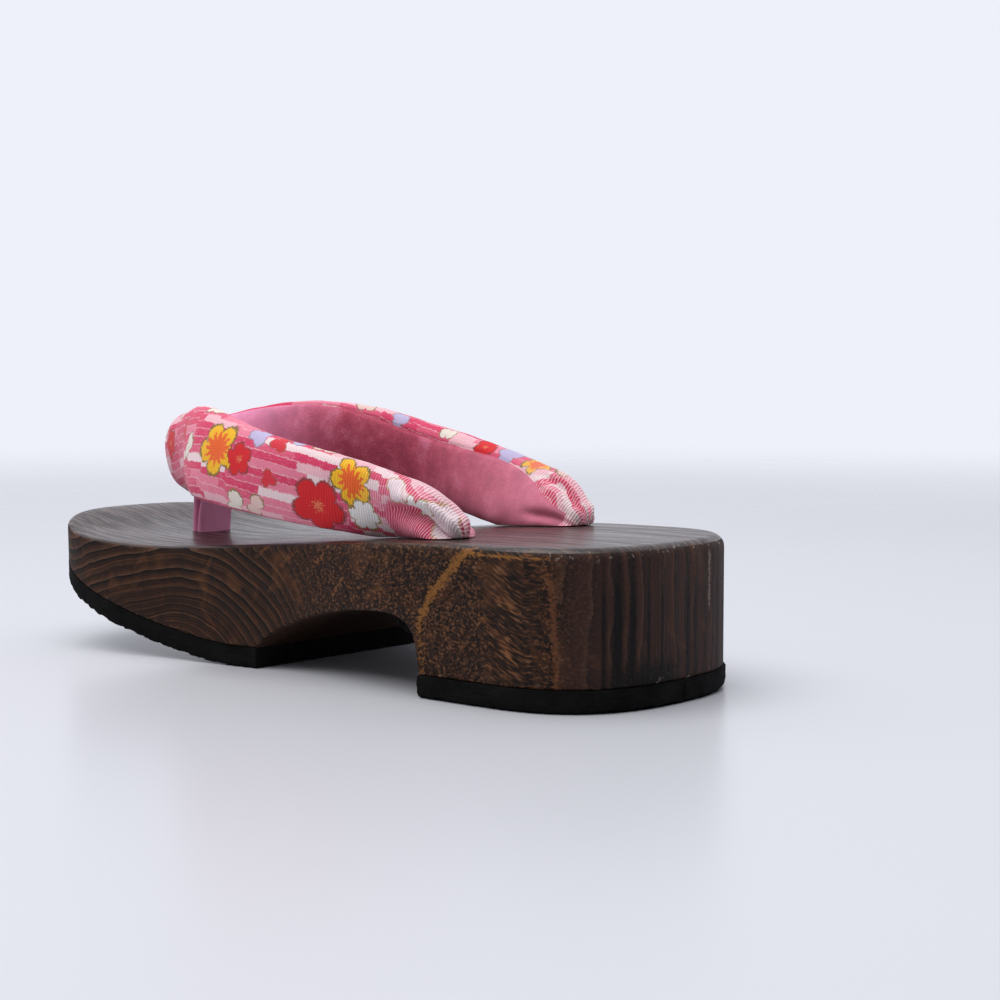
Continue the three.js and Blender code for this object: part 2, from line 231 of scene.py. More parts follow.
def carve(made, cutters):
    """Cuts closed pieces out of a piece and removes them."""
    for cutter in cutters:
        cut = made.modifiers.new("hole", "BOOLEAN")
        cut.operation = "DIFFERENCE"
        cut.solver = "EXACT"
        cut.object = cutter
    graph = bpy.context.evaluated_depsgraph_get()
    result = bpy.data.meshes.new_from_object(made.evaluated_get(graph))
    made.modifiers.clear()
    made.data = result
    for cutter in cutters:
        bpy.data.objects.remove(cutter)
    smooth(made)


def add_node(tree, kind, *values, out=0, stops=(), **named):
    """Adds one shader node and gives one of its outputs. Values fill its inputs in order, a name with
    a capital letter fills that input, any other name is a setting, and a hex code is a colour."""
    made = tree.nodes.new("ShaderNode" + kind)
    inputs = list(enumerate(values))
    for name, value in named.items():
        if name[0].isupper():
            inputs.append((name, value))
        else:
            setattr(made, name, value)
    for i, (place, colour) in enumerate(stops):
        marks = made.color_ramp.elements
        mark = marks[i] if i < len(marks) else marks.new(place)
        mark.position = place
        mark.color = linear(colour) if isinstance(colour, str) else colour
    for key, value in inputs:
        if isinstance(value, bpy.types.NodeSocket):
            tree.links.new(value, made.inputs[key])
        else:
            made.inputs[key].default_value = linear(value) if isinstance(value, str) else value
    return made.outputs[out] if len(made.outputs) else None


def new_material(name):
    """An empty material and the function that adds a node to it."""
    made = bpy.data.materials.new(name)
    made.use_nodes = True
    made.node_tree.nodes.clear()
    return made, partial(add_node, made.node_tree)


def object_mm(add):
    """Places on a piece in millimetres."""
    return add("VectorMath", add("TexCoord", out="Object"), (1 / MM,) * 3, operation="MULTIPLY")


def stretched_noise(add, at, pitch, detail, **more):
    """Noise with its own pitch along each axis."""
    scaled = add("VectorMath", at, pitch, operation="MULTIPLY")
    return add("TexNoise", Vector=scaled, Scale=1.0, Detail=detail, **more)


def surface(add, colour, roughness, ior, specular=0.5, **more):
    """Ends a material with its one surface."""
    values = {"Base Color": colour, "Roughness": roughness, "IOR": ior, "Specular IOR Level": specular}
    add("OutputMaterial", Surface=add("BsdfPrincipled", **values, **more))


def finish_piece(made, nodes):
    """The piece rides on the sandal, and the CAD nodes that it is built from are hidden."""
    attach(made, "root")
    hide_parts(*nodes)


# ---- the wooden body ----


def bezier(a, b, c, d, steps=26):
    """Points on a cubic curve from a to d, with b and c as its handles."""
    t = np.linspace(0, 1, steps)[:, None]
    a, b, c, d = (np.array(p, float) for p in (a, b, c, d))
    return (1 - t) ** 3 * a + 3 * t * (1 - t) ** 2 * b + 3 * t * t * (1 - t) * c + t**3 * d


def underside_line():
    """The wood's underside from heel to toe as points (y, z): heel, arch, forefoot, toe spring."""
    wall_top = (ROOF_Y - 13.6, 13.3)
    rear = bezier(wall_top, (ROOF_Y - 13.1, 19.4), (ROOF_Y - 8.4, ROOF_Z), (ROOF_Y, ROOF_Z))
    front = bezier(
        (ROOF_Y, ROOF_Z),
        (ROOF_Y + 21.5, ROOF_Z - 0.2),
        (FOREFOOT_START - 9, 16.2),
        (FOREFOOT_START, WOOD_BOTTOM),
    )
    y = np.linspace(SPRING_START, TOE_END + 1, 60)
    spring = np.stack([y, spring_height(y) + WOOD_BOTTOM], -1)
    heel = [(HEEL_END - 5, WOOD_BOTTOM), (HEEL_FRONT, WOOD_BOTTOM)]
    return np.concatenate([heel, rear, front[1:], spring])


def spring_height(y):
    """How far the toe spring lifts the underside at a place along the foot."""
    share = np.maximum(np.asarray(y, float) - SPRING_START, 0) / (TOE_END - SPRING_START)
    return SPRING_LIFT * share**SPRING_POWER


UNDERSIDE = underside_line()


def underside(y):
    return np.interp(y, UNDERSIDE[:, 0], UNDERSIDE[:, 1])


def top_height(y):
    return along(TOP, 1, y)


def outline(start=HEEL_END, end=TOE_END, steps=70):
    """Right half of the outline as points (x, y) from heel to toe, between two stations."""
    angle = np.linspace(0, np.pi / 2, steps)
    (heel_y, heel_half), (toe_y, toe_half) = WIDTHS[0], WIDTHS[-1]
    heel_turn = np.stack([np.sin(angle), np.cos(angle)]) ** (2 / HEEL_ROUNDNESS)
    toe_turn = np.abs([np.cos(angle), np.sin(angle)]) ** (2 / TOE_ROUNDNESS)
    heel = np.stack([heel_half * heel_turn[0], heel_y - (heel_y - HEEL_END) * heel_turn[1]], -1)
    toe = np.stack([toe_half * toe_turn[0], toe_y + (TOE_END - toe_y) * toe_turn[1]], -1)
    heel[0, 0] = toe[-1, 0] = 0
    # Between the rounded ends there is a point for each millimetre, and one where the underside bends.
    bends = UNDERSIDE[(UNDERSIDE[:, 0] > heel_y) & (UNDERSIDE[:, 0] < toe_y), 0]
    y = np.unique(np.round(np.concatenate([np.arange(heel_y + 1, toe_y, 1.0), bends]), 3))
    keep = [y[0]]
    for value in y[1:]:
        least = 0.1 if np.min(np.abs(bends - value)) < 1e-3 else 0.24
        if value - keep[-1] > least:
            keep.append(value)
    waist = np.stack([along(WIDTHS, 1, keep), keep], -1)
    side = np.concatenate([heel, waist, toe])
    if start > HEEL_END or end < TOE_END:
        inside = side[(side[:, 1] > start + 0.2) & (side[:, 1] < end - 0.2)]
        first = [(float(along(WIDTHS, 1, start)), start)] if start > HEEL_END else [side[0]]
        last = [(float(along(WIDTHS, 1, end)), end)] if end < TOE_END else [side[-1]]
        side = np.concatenate([first, inside[inside[:, 0] > 0], last])
    return side


def moved_out(side, distance):
    """The half outline moved outwards by a distance for each point."""
    run = unit(np.gradient(side, axis=0))
    normal = np.stack([run[:, 1], -run[:, 0]], -1)
    for end, direction in ((0, -1), (-1, 1)):
        if side[end, 0] == 0:
            normal[end] = (0, direction)
    return side + normal * np.reshape(distance, (-1, 1))


def ladder(side, height, columns):
    """Rows straight across the foot, one for each point of a half outline."""
    across = np.linspace(-1, 1, columns + 1)
    x = side[:, :1] * across
    y = np.repeat(side[:, 1:2], columns + 1, 1)
    z = np.repeat(np.reshape(height, (-1, 1)), columns + 1, 1)
    return np.stack([x, y, z], -1)


def rim(rows):
    """The edge of a ladder, once round, anticlockwise from above."""
    return np.concatenate([rows[:, -1], rows[-1, -2:0:-1], rows[::-1, 0], rows[0, 1:-1]])


def slab(bottom, walls, top):
    """Points and faces of a closed body: a bottom ladder, wall rims and a top ladder."""
    rings = np.stack([rim(bottom), *walls, rim(top)])
    points = np.concatenate([bottom.reshape(-1, 3), top.reshape(-1, 3), rings.reshape(-1, 3)])
    rows, columns = bottom.shape[:2]
    faces = np.concatenate([
        grid_faces(rows, columns, flip=True),
        grid_faces(rows, columns, first=rows * columns),
        grid_faces(len(rings), rings.shape[1], closed=True, first=2 * rows * columns),
    ])
    return points, faces


def tube_piece(name, start, end, radius, sides=40):
    """A closed straight round bar, used to cut a hole."""
    start, end = Vector(start), Vector(end)
    turn = (end - start).to_track_quat("Z", "Y").to_matrix()
    angle = np.linspace(0, 2 * np.pi, sides, endpoint=False)
    circle = [turn @ Vector((radius * math.cos(a), radius * math.sin(a), 0)) for a in angle]
    points = [p + at for at in (start, end) for p in circle]
    return make_piece(name, points, tube_faces(2, sides), weld=0)


def rear_hole_at(side, z):
    """Where a rear hole's middle line crosses a height."""
    deck = float(top_height(REAR_HOLE["y"]))
    share = (deck - z) / (deck - ROOF_Z)
    return (side * REAR_HOLE["x"], REAR_HOLE["y"] + share * (REAR_HOLE["exit_y"] - REAR_HOLE["y"]), z)


EASE, EASE_STEPS = 0.7, 4  # how far the arris under the wood is taken off, and in how many steps
WALL_ROWS, ROUND_STEPS, COLUMNS = 20, 6, 26  # rows up the wall, over its top edge and across
STEEPEST = 9  # slope of the underside that still counts as one: the walls of the arch are steeper
ABOVE_WOOD = 60.0
BELOW_REAR, BELOW_TOE = 12.0, 2.0  # where the cutters of the holes end


def wooden_body(settings):
    """The carved block with its eased arris, straight walls, rounded top edge and three holes."""
    side = outline()
    y = side[:, 1]
    slope = np.gradient(underside(y), y + np.arange(len(side)) * 1e-9)
    slope = np.clip(np.nan_to_num(slope), -STEEPEST, STEEPEST)
    lean = 1 / np.sqrt(1 + slope**2)
    walls = []
    for step in range(EASE_STEPS + 1):
        angle = step / EASE_STEPS * np.pi / 2
        ring = moved_out(side, np.full(len(side), -EASE * (1 - math.sin(angle))))
        rise = EASE * (1 - math.cos(angle))
        ring[:, 1] -= slope * lean * rise
        walls.append(ladder(ring, underside(y) + lean * rise, COLUMNS))
    bottom = walls.pop(0)
    radius = along(TOP, 2, y)
    base, upper = walls[-1], ladder(side, top_height(y) - radius, COLUMNS)
    walls += [base + (upper - base) * i / WALL_ROWS for i in range(1, WALL_ROWS + 1)]
    for step in range(1, ROUND_STEPS + 1):
        angle = step / ROUND_STEPS * np.pi / 2
        ring = moved_out(side, -radius * (1 - math.cos(angle)))
        drop = along(TOP, 2, ring[:, 1]) * (1 - math.sin(angle))
        walls.append(ladder(ring, top_height(ring[:, 1]) - drop, COLUMNS))
    top = walls.pop()
    body = make_piece("wooden_body", *slab(bottom, [rim(w) for w in walls], top))
    toe_y, pocket = TOE_HOLE["y"], TOE_HOLE["pocket_top"]
    holes = [(rear_hole_at(i, ABOVE_WOOD), rear_hole_at(i, BELOW_REAR), REAR_HOLE["radius"]) for i in (-1, 1)]
    holes.append(((0, toe_y, ABOVE_WOOD), (0, toe_y, pocket - 2), TOE_HOLE["radius"]))
    holes.append(((0, toe_y, pocket), (0, toe_y, BELOW_TOE), TOE_HOLE["pocket_radius"]))
    carve(body, [tube_piece(f"hole_{i}", *hole) for i, hole in enumerate(holes)])
    grain_fields(body, settings)
    body.data.materials.append(lacquered_paulownia(settings))
    return body


# The grain follows two domes, as a block cut near a fork in the trunk shows them: a long one
# centred under the ball of the foot and a narrow one in the heel block.
FRONT_DOME = {"y": 50.7, "z": -20.0}
HEEL_SLANT = -78.0  # behind here the vessels fall away at a slant
HEEL_DOME = {"y": -80.5, "half": 22.2, "top": 46.0, "power": 2.8}

# Two unburnt bands cross the side of the heel block: height z, place y, half width.
LEFT_BAND = np.array([
    (8.5, -58.3, 1.7),
    (21.5, -57.1, 1.8),
    (30, -62.2, 2.2),
    (40.5, -72.6, 3.0),
    (44, -77.0, 3.4),
])
RIGHT_BAND = np.array([(9.5, -102.3, 1.1), (31, -101.6, 1.2), (38.5, -99.6, 1.4), (43, -93.0, 1.8)])

# Amber streaks in the scorched sides: y, z, half length, half height, slope.
AMBER = [
    (2, 34, 5.0, 1.0, -0.7),
    (-13, 35, 6.0, 1.0, -0.8),
    (-22, 28, 5.0, 0.8, -1.0),
    (-88, 30, 4.0, 2.6, 0.6),
    (-87, 18, 5.5, 3.0, 0.7),
    (-81, 24, 3.0, 1.0, 0.6),
    (12, 36, 6.0, 0.6, -0.7),
]

# Nearly black late lines down the back of the heel block: place x, half width, strength.
NIGHT = [
    (-28.0, 0.7, 0.8),
    (-24.4, 1.5, 1.0),
    (-20.0, 1.3, 0.9),
    (-14.5, 0.8, 0.8),
    (-9.2, 0.5, 0.8),
    (-1.5, 0.5, 0.7),
    (2.4, 0.5, 0.7),
    (6.0, 1.2, 0.6),
    (11.0, 0.5, 0.7),
    (19.0, 0.9, 0.7),
    (26.0, 1.3, 0.9),
]


# What the wood's material reads at every point: the growth ring number, then masks from 0 to 1.
FIELDS = (
    "rings", "calm", "wall", "arris", "foot", "gold", "amber", "night", "painted_highlight_and_scuff", "russet", "back",
    "mottle", "deck",
)


def band(table, y, z):
    """How much a place lies in a band across the side of the heel block."""
    heights, middles, halves = table.T
    return hump(y - np.interp(z, heights, middles), np.interp(z, heights, halves))


def grain_fields(body, settings):
    """Writes the growth ring number and the masks of the lighter and darker places on every point."""
    x, y, z = places(body).T
    pitch = settings.ring_spacing / MM
    stretch = 1 + 0.5 * smoothstep(35, 66, y)
    front_away = np.hypot((y - FRONT_DOME["y"]) / stretch, z - FRONT_DOME["z"])
    power, half = HEEL_DOME["power"], HEEL_DOME["half"]
    beside, beneath = np.abs(y - HEEL_DOME["y"]) / half, np.clip(z, 0, None) / HEEL_DOME["top"]
    dome = (beside**power + beneath**power) ** (1 / power) * half
    # Outside the dome the heel's rings run nearly flat.
    level = np.minimum(dome, 25 + 0.08 * (dome - 25))
    share = smoothstep(-56, -16, y)
    rings = (level / pitch + 20.5) * (1 - share) + front_away / pitch * share - x * settings.ring_tilt
    calm = smoothstep(47, 39, front_away) * smoothstep(86, 66, y)

    edge = outline()
    near = np.full(len(x), np.inf)
    for at_x, at_y in np.concatenate([edge, edge * (-1, 1)]):
        near = np.minimum(near, np.hypot(x - at_x, y - at_y))
    wall, brink = hump(near, 1.8), hump(near, 2.4)
    below_top, round_top = top_height(y) - z, along(TOP, 2, y)
    arris = hump(below_top - 0.5 * round_top, 1.3) * brink
    arris = arris * (0.12 + 0.88 * smoothstep(-92, -104, y) + 0.3 * smoothstep(98, 108, y))
    foot = hump(z - underside(y), 1.5) * wall
    foot = foot * (0.25 + 0.75 * smoothstep(-108, -114, y) * smoothstep(-18, -8, x))
    golden = band(LEFT_BAND, y, z) * (0.62 + 0.38 * smoothstep(17, 25, z)) * wall
    # Painted highlight: a thin golden line along the rounded top edge at the back of the heel, where the edge
    # catches the light; it goes into the golden band's field and takes its colour.
    painted_rim_highlight = hump(below_top - 0.7 * round_top, 0.6) * brink * smoothstep(-72, -77, y)
    golden = np.maximum(golden, 0.95 * painted_rim_highlight * smoothstep(-104, -98, y))
    amber = np.zeros(len(x))
    for at_y, at_z, long_half, high_half, slope in AMBER:
        rise = (z - at_z) - slope * (y - at_y)
        amber = np.maximum(amber, hump(y - at_y, long_half) * hump(rise, high_half * 1.4) * wall)
    back = smoothstep(-98, -104, y) * wall
    night = np.zeros(len(x))
    for at_x, half, strength in NIGHT:
        night = np.maximum(night, strength * hump(x - at_x, half))
    damp = 0.7 * smoothstep(17, 9, z) * smoothstep(-29, -25, x) * smoothstep(0, -6, x)
    night = np.maximum(night * (0.6 + 0.4 * smoothstep(38, 26, z)), damp) * back
    # Painted highlight: a pale streak down the back of the heel block where the light runs along it, with a
    # scuff near its lower end.
    painted_highlight_and_scuff = hump(x - 13.5, 0.9) * smoothstep(22, 27, z) * smoothstep(45, 40, z) * back
    russet = band(RIGHT_BAND, y, z) * wall
    soaked = smoothstep(-101, -108, y) * wall
    mottle = smoothstep(12, -20, y) * wall
    mottle = mottle * (1 - 0.55 * smoothstep(-98, -103, y) - 0.45 * smoothstep(-108, -114, y))
    deck = smoothstep(0.42, 0.22, below_top / round_top)
    masks = (rings, calm, wall, arris, foot, golden, amber, night, painted_highlight_and_scuff, russet, soaked, mottle, deck)
    for name, values in zip(FIELDS, masks, strict=True):
        write_field(body, name, values)


def growth_rings(add, mm, field, deck, settings):
    """The rings' colour, how far each place is through its ring, and each ring's own strength."""
    # Rings wander by about half a ring over 20 mm, and shiver over 2 mm where they run steep.
    wander = add("TexNoise", Vector=mm, Scale=0.045, Detail=2.0)
    shiver = add("TexNoise", Vector=mm, Scale=0.5, Detail=2.0)
    amount = add("MapRange", field["mottle"], 0.0, 1.0, 0.16, 0.5)
    bent = add("Math", wander, 1.5, field["rings"], operation="MULTIPLY_ADD")
    bent = add("Math", shiver, amount, bent, operation="MULTIPLY_ADD")
    # The top is cut along the rings, so they run the length of the foot there, 3 mm apart.
    drift = stretched_noise(add, mm, (0.045, 0.011, 0.045), 2.0)
    over = add("Math", add("SeparateXYZ", mm, out="X"), 0.31, operation="MULTIPLY")
    over = add("Math", drift, 9.0, over, operation="MULTIPLY_ADD")
    number = add("Mix", Factor=deck, A=bent, B=over)
    saw = add("Math", number, operation="FRACT")
    # From one ring to the next: a thin amber line, brown earlywood, then a dark late line.
    ring = add(
        "ValToRGB", saw,
        stops=[
            (0.0, settings.amber_colour),
            (0.16, settings.wood_colour),
            (0.55, settings.shade_colour),
            (0.76, "#1c100a"),
            (0.84, settings.ring_colour),
            (0.95, settings.ring_colour),
            (1.0, settings.amber_colour),
        ],
    )
    # Each ring has its own strength and its own tint.
    own = add("TexNoise", W=number, Scale=0.8, Detail=1.0, noise_dimensions="1D")
    fine = add("TexNoise", W=number, Scale=4.5, Detail=3.0, Roughness=0.6, noise_dimensions="1D")
    plain = add(
        "ValToRGB", fine,
        stops=[
            (0.34, "#180e08"),
            (0.5, settings.shade_colour),
            (0.62, settings.wood_colour),
            (0.74, "#5c3f2c"),
        ],
    )
    contrast = add("MapRange", own, 0.32, 0.6, 0.3, 1.0)
    calm = add("MapRange", field["calm"], 0.0, 1.0, 1.0, 0.12)
    contrast = add("Math", contrast, calm, operation="MULTIPLY")
    return add("MixRGB", contrast, plain, ring), saw, own


def pores(add, mm):
    """Flecks about 1 mm high and 3 mm long where the cut crosses the vessels; behind the middle of
    the heel block they grow longer and fall away at a slant."""
    along_foot = add("SeparateXYZ", mm, out="Y")
    slant = add("Math", HEEL_SLANT, along_foot, operation="SUBTRACT")
    slant = add("Math", slant, 0.0, operation="MAXIMUM")
    slant = add("Math", slant, 16.0, operation="MINIMUM")
    strands = add("MapRange", slant, 1.0, 7.0)
    strands = add("Math", strands, add("MapRange", along_foot, -100.0, -96.0), operation="MULTIPLY")
    fall = add("CombineXYZ", Z=add("Math", slant, 0.5, operation="MULTIPLY"))
    leaning = add("VectorMath", mm, fall, operation="ADD")
    fleck = stretched_noise(add, mm, (0.95, 0.95, 1.35), 2.0, Distortion=0.5)
    strand = stretched_noise(add, leaning, (0.3, 0.3, 1.35), 2.0, Distortion=0.5)
    return add("Mix", Factor=strands, A=fleck, B=strand)


def lacquered_paulownia(settings):
    """Paulownia, scorched, wire brushed and lacquered: brown earlywood worn back between darker
    rings, fine pores, a satin skin that mirrors pale light at low angles."""
    made, add = new_material("paulownia_scorched_brushed_lacquered")
    mm = object_mm(add)
    field = {name: add("Attribute", out="Fac", attribute_name=name) for name in FIELDS}
    deck = add("Math", field["deck"], 0.5, operation="GREATER_THAN")
    colour, saw, own = growth_rings(add, mm, field, deck, settings)
    # Fibres: streaks 0.5 mm thick along the foot.
    fibre = stretched_noise(add, mm, (1.6, 0.05, 0.16), 4.0, Roughness=0.65)
    tone = add("MapRange", fibre, 0.35, 0.7, 0.6, 1.3)
    colour = add("MixRGB", 1.0, colour, tone, blend_type="MULTIPLY")
    fleck = pores(add, mm)
    fleck_tone = add(
        "ValToRGB", fleck, stops=[(0.4, "#100804"), (0.49, "#26150c"), (0.57, "#4b2d1a"), (0.67, "#714b31")],
    )
    shown = add("Math", field["mottle"], 0.8, operation="MULTIPLY")
    colour = add("MixRGB", shown, colour, fleck_tone)
    # Amber streaks where the lacquer lies over unburnt wood, broken up by the pores.
    hair = add("MapRange", fleck, 0.3, 0.7, -0.4, 0.4)
    blotch = add("TexNoise", Vector=mm, Scale=0.1, Detail=3.0, Distortion=0.8)
    warm = add("Math", add("MapRange", blotch, 0.56, 0.72, 0.0, 0.35), field["wall"], operation="MULTIPLY")
    streak = add("Math", field["amber"], hair, operation="ADD")
    warm = add("Math", add("MapRange", streak, 0.42, 1.05, 0.0, 0.6), warm, operation="MAXIMUM")
    colour = add("MixRGB", warm, colour, "#6e4222", blend_type="SCREEN")
    # The golden and the russet band, the back where the end grain soaked up more stain, its nearly black
    # lines, and a painted highlight streak with a scuff in it; the golden field also holds a painted
    # highlight along the heel's top edge. For each: field, how much the pores break up its edges, the values
    # where it starts and where it is full, the most that it covers, colour.
    for name, edge, start, full, most, tint in (
        ("gold", 1.0, 0.42, 0.88, 0.85, settings.gold_colour),
        ("russet", 1.0, 0.42, 0.98, 0.7, "#6b4026"),
        ("back", 0.0, 0.0, 1.0, 0.5, "#382523"),
        ("night", 0.35, 0.16, 0.7, 0.95, "#070506"),
        ("painted_highlight_and_scuff", 1.0, 0.42, 1.1, 0.75, "#8d7d74"),
    ):
        share = add("Math", hair, edge, field[name], operation="MULTIPLY_ADD")
        share = add("MapRange", share, start, full, 0.0, most)
        colour = add("MixRGB", share, colour, tint)
    # Rubbed arrises show pale specks.
    edges = add("Math", field["arris"], field["foot"], operation="MAXIMUM")
    speck = add("TexNoise", Vector=mm, Scale=0.8, Detail=3.0)
    paled = add("Math", edges, add("MapRange", speck, 0.6, 0.7, 0.0, 0.7), operation="MULTIPLY")
    colour = add("MixRGB", paled, colour, "#b3a296")

    # Relief: the late lines stand proud, the pores lie deep.
    late = add("MapRange", saw, 0.3, 0.9)
    proud = add("MapRange", own, 0.32, 0.6, 0.2, 1.0)
    height = add("Math", late, proud, fibre, operation="MULTIPLY_ADD")
    pitted = add("Math", fleck, shown, operation="MULTIPLY")
    height = add("Math", pitted, 1.6, height, operation="MULTIPLY_ADD")
    bump = add("Bump", Strength=0.6, Distance=settings.grain_relief, Height=height)
    # The walked-on top is polished, the sides keep a duller brushed lacquer.
    worn = stretched_noise(add, mm, (0.4, 0.035, 0.4), 3.0)
    polished = add("MapRange", worn, 0.36, 0.64, 0.26, 0.56)
    shade = add("MapRange", worn, 0.36, 0.64, 1.35, 0.55)
    shade = add("Mix", Factor=deck, A=1.0, B=shade)
    colour = add("MixRGB", 1.0, colour, shade, blend_type="MULTIPLY")
    dull = add("MapRange", fibre, 0.3, 0.7, 0.6, 0.8)
    rough = add("Mix", Factor=deck, A=dull, B=polished)
    coat = {"Coat Weight": add("Math", deck, 0.45, operation="MULTIPLY"), "Coat Roughness": 0.25}
    surface(add, colour, rough, 1.5, 0.22, Normal=bump, **coat)
    return made


# ---- rubber soles ----


SOLE_STEP, SOLE_COLUMNS, SOLE_LEVELS = 0.8, 60, 8  # mm along the edge, cells across and up
SOLE_ROUNDING = (1.5, 0.6, 0.2)  # how far the lowest levels draw in, for each mm of wear


def ragged(length, step, seed):
    """Random numbers from -1 to 1 along a line, one for each step, joined straight."""
    rng = np.random.default_rng(seed)
    knots = rng.uniform(-1, 1, int(length[-1] / step) + 3)
    return np.interp(length / step, np.arange(len(knots)), knots)


def line_length(points):
    """How far along a line each of its points is."""
    return np.concatenate([[0], np.cumsum(np.linalg.norm(np.diff(points, axis=0), axis=1))])


def rubber_sole(name, start, end, flare, worn, seed):
    """A pad cut by hand from foam rubber sheet: its walls wave a little, its lower edge is torn,
    and walking has rounded it by as much as it is worn, in mm."""
    side = outline(start, end)
    dense = [side[:1]]
    for a, b in zip(side[:-1], side[1:]):
        pieces = max(1, int(np.linalg.norm(b - a) / SOLE_STEP))
        dense.append(a + (b - a) * np.arange(1, pieces + 1)[:, None] / pieces)
    side = np.concatenate(dense)
    rims, ladders = [], []
    for level in range(SOLE_LEVELS + 1):
        inset = worn * SOLE_ROUNDING[level] if level < len(SOLE_ROUNDING) else 0.0
        outer = moved_out(side, np.full(len(side), flare - inset))
        height = spring_height(outer[:, 1]) + RUBBER * level / SOLE_LEVELS
        ladders.append(ladder(outer, height, SOLE_COLUMNS))
        edge = rim(ladders[-1])
        run = np.roll(edge, -1, 0) - np.roll(edge, 1, 0)
        length = line_length(edge)
        normal = np.stack([run[:, 1], -run[:, 0], np.zeros(len(edge))], -1)
        normal /= np.maximum(np.linalg.norm(normal, axis=1)[:, None], 1e-6)
        wave = 0.13 * ragged(length, 1.3, seed + level) + 0.1 * ragged(length, 9, seed + 50) - 0.23
        if level < 2:
            wave -= 0.75 * (1 - level) * np.clip(ragged(length, 1.1, seed + 90), 0, 1)
        moved = edge + normal * wave[:, None]
        if 0 < level < SOLE_LEVELS:
            moved[:, 2] += 0.12 * ragged(length, 1.1, seed + 20 + level)
        rims.append(moved)
    # Notches torn up into the lower edge, a millimetre or two apart.
    tear = np.clip(ragged(length, 0.8, seed + 130) + 0.4 * ragged(length, 4, seed + 131), 0, 1)
    rims[0][:, 2] += 0.75 * tear
    rims[1][:, 2] += 0.45 * tear
    rims[-1][:, 2] -= 0.25 * np.clip(ragged(length, 1.6, seed + 140), 0, 1)
    bottom, top = ladders[0], ladders[-1]
    weave_rim(bottom, rims[0])
    # The glue line closes most of the gap to the wood.
    glue = GAP * 0.8
    top[..., 2] += glue
    weave_rim(top, rims[-1] + (0, 0, glue))
    return make_piece(name, *slab(bottom, rims[1:-1], top))


def weave_rim(rows, edge):
    """Puts a moved rim back on the ladder that it came from."""
    count, columns = rows.shape[:2]
    right, front, left, rear = np.split(edge, np.cumsum([count, columns - 2, count]))
    rows[:, -1], rows[-1, -2:0:-1], rows[::-1, 0], rows[0, 1:-1] = right, front, left, rear


def foam_rubber(settings):
    """EVA foam rubber sheet, split and knife cut: nearly black, matt, with open cells on the cut."""
    made, add = new_material("foam_rubber_knife_cut")
    mm = object_mm(add)
    # Cells of 0.3 to 0.5 mm, drawn at 0.6 mm so that they show.
    cells = add("TexVoronoi", Vector=mm, Scale=1.6, out="Distance")
    knife = stretched_noise(add, mm, (0.25, 0.25, 2.2), 3.0)
    dust = add("TexNoise", Vector=mm, Scale=0.12, Detail=4.0)
    tone = add("Math", knife, 0.6, dust, operation="MULTIPLY_ADD")
    colour = add("ValToRGB", tone, stops=[(0.6, settings.rubber_colour), (1.0, "#161616")])
    height = add("Math", cells, 0.7, knife, operation="MULTIPLY_ADD")
    bump = add("Bump", Strength=0.6, Distance=0.00025, Height=height)
    surface(add, colour, 0.9, 1.45, 0.12, Normal=bump)
    return made


# ---- the padded strap ----


def catmull_rom(p0, p1, p2, p3, t):
    """A point on a centripetal Catmull-Rom curve between p1 and p2."""
    d0, d1, d2 = (np.linalg.norm(b - a) ** 0.5 for a, b in ((p0, p1), (p1, p2), (p2, p3)))
    d0 = d0 if d0 > 1e-2 else d1
    d2 = d2 if d2 > 1e-2 else d1
    m1 = d1 * ((p1 - p0) / d0 - (p2 - p0) / (d0 + d1) + (p2 - p1) / d1)
    m2 = d1 * ((p2 - p1) / d1 - (p3 - p1) / (d1 + d2) + (p3 - p2) / d2)
    return p1 + m1 * t + (3 * (p2 - p1) - 2 * m1 - m2) * t * t + (2 * (p1 - p2) + m1 + m2) * t**3


def strap_middle(at):
    """Middle of the strap, for places on one arm; a little before 0 lies on the other arm."""
    mirror = -1.0 if at < 0 else 1.0
    at = abs(at)
    i = int(np.clip(np.searchsorted(STRAP[:, 0], at) - 1, 0, len(STRAP) - 2))
    rows = [STRAP[min(abs(k), len(STRAP) - 1), 1:4] for k in range(i - 1, i + 3)]
    if i == 0:
        rows[0] = rows[0] * (-1, 1, 1)
    t = (at - STRAP[i, 0]) / (STRAP[i + 1, 0] - STRAP[i, 0])
    return catmull_rom(*rows, t) * (mirror, 1, 1)


def seam_angles(at):
    """Where the printed cloth ends round the section: below the outer face, and past the top."""
    crotch = smoothstep(0.1, 0.7, at) * smoothstep(2.0, 1.2, at)
    upper = 112 - 8 * crotch + 30 * smoothstep(2.0, 4.4, at) + 44 * smoothstep(4.6, 5.8, at)
    lower = -75 + 4 * smoothstep(4.8, 6.0, at)
    return lower, upper


# Folds that gather the cloth towards the rear holes, one row for each: where it starts, its
# angle round the section there and at the end, its depth and its half width in mm.
FOLDS = {
    -1: [
        (4.95, 16, 53, 4.8, 2.0),
        (5.45, 62, 80, 1.7, 1.0),
        (5.50, 98, 108, 1.3, 0.9),
        (5.60, 126, 132, 1.2, 0.9),
        (5.30, -30, -8, 0.9, 1.1),
        (5.05, 196, 178, 1.8, 1.2),
        (5.20, 240, 228, 1.4, 1.2),
    ],
    1: [
        (4.95, 20, 50, 3.0, 1.5),
        (5.30, 74, 84, 1.6, 1.0),
        (5.00, 118, 122, 2.0, 1.0),
        (5.15, 148, 150, 1.8, 1.0),
        (5.30, -30, -8, 0.9, 1.1),
        (5.20, 215, 205, 1.2, 1.2),
    ],
}

PRINT_COLUMNS, VELVET_COLUMNS = 74, 46  # points round the printed cloth and round the lining
ARM_STEPS, END_STEPS = 300, 14  # rings along one arm and over its blunt end
END_BULGE = 4.4
REST_GAP = 0.05  # the strap lies this much above the CAD's own gap to the wood


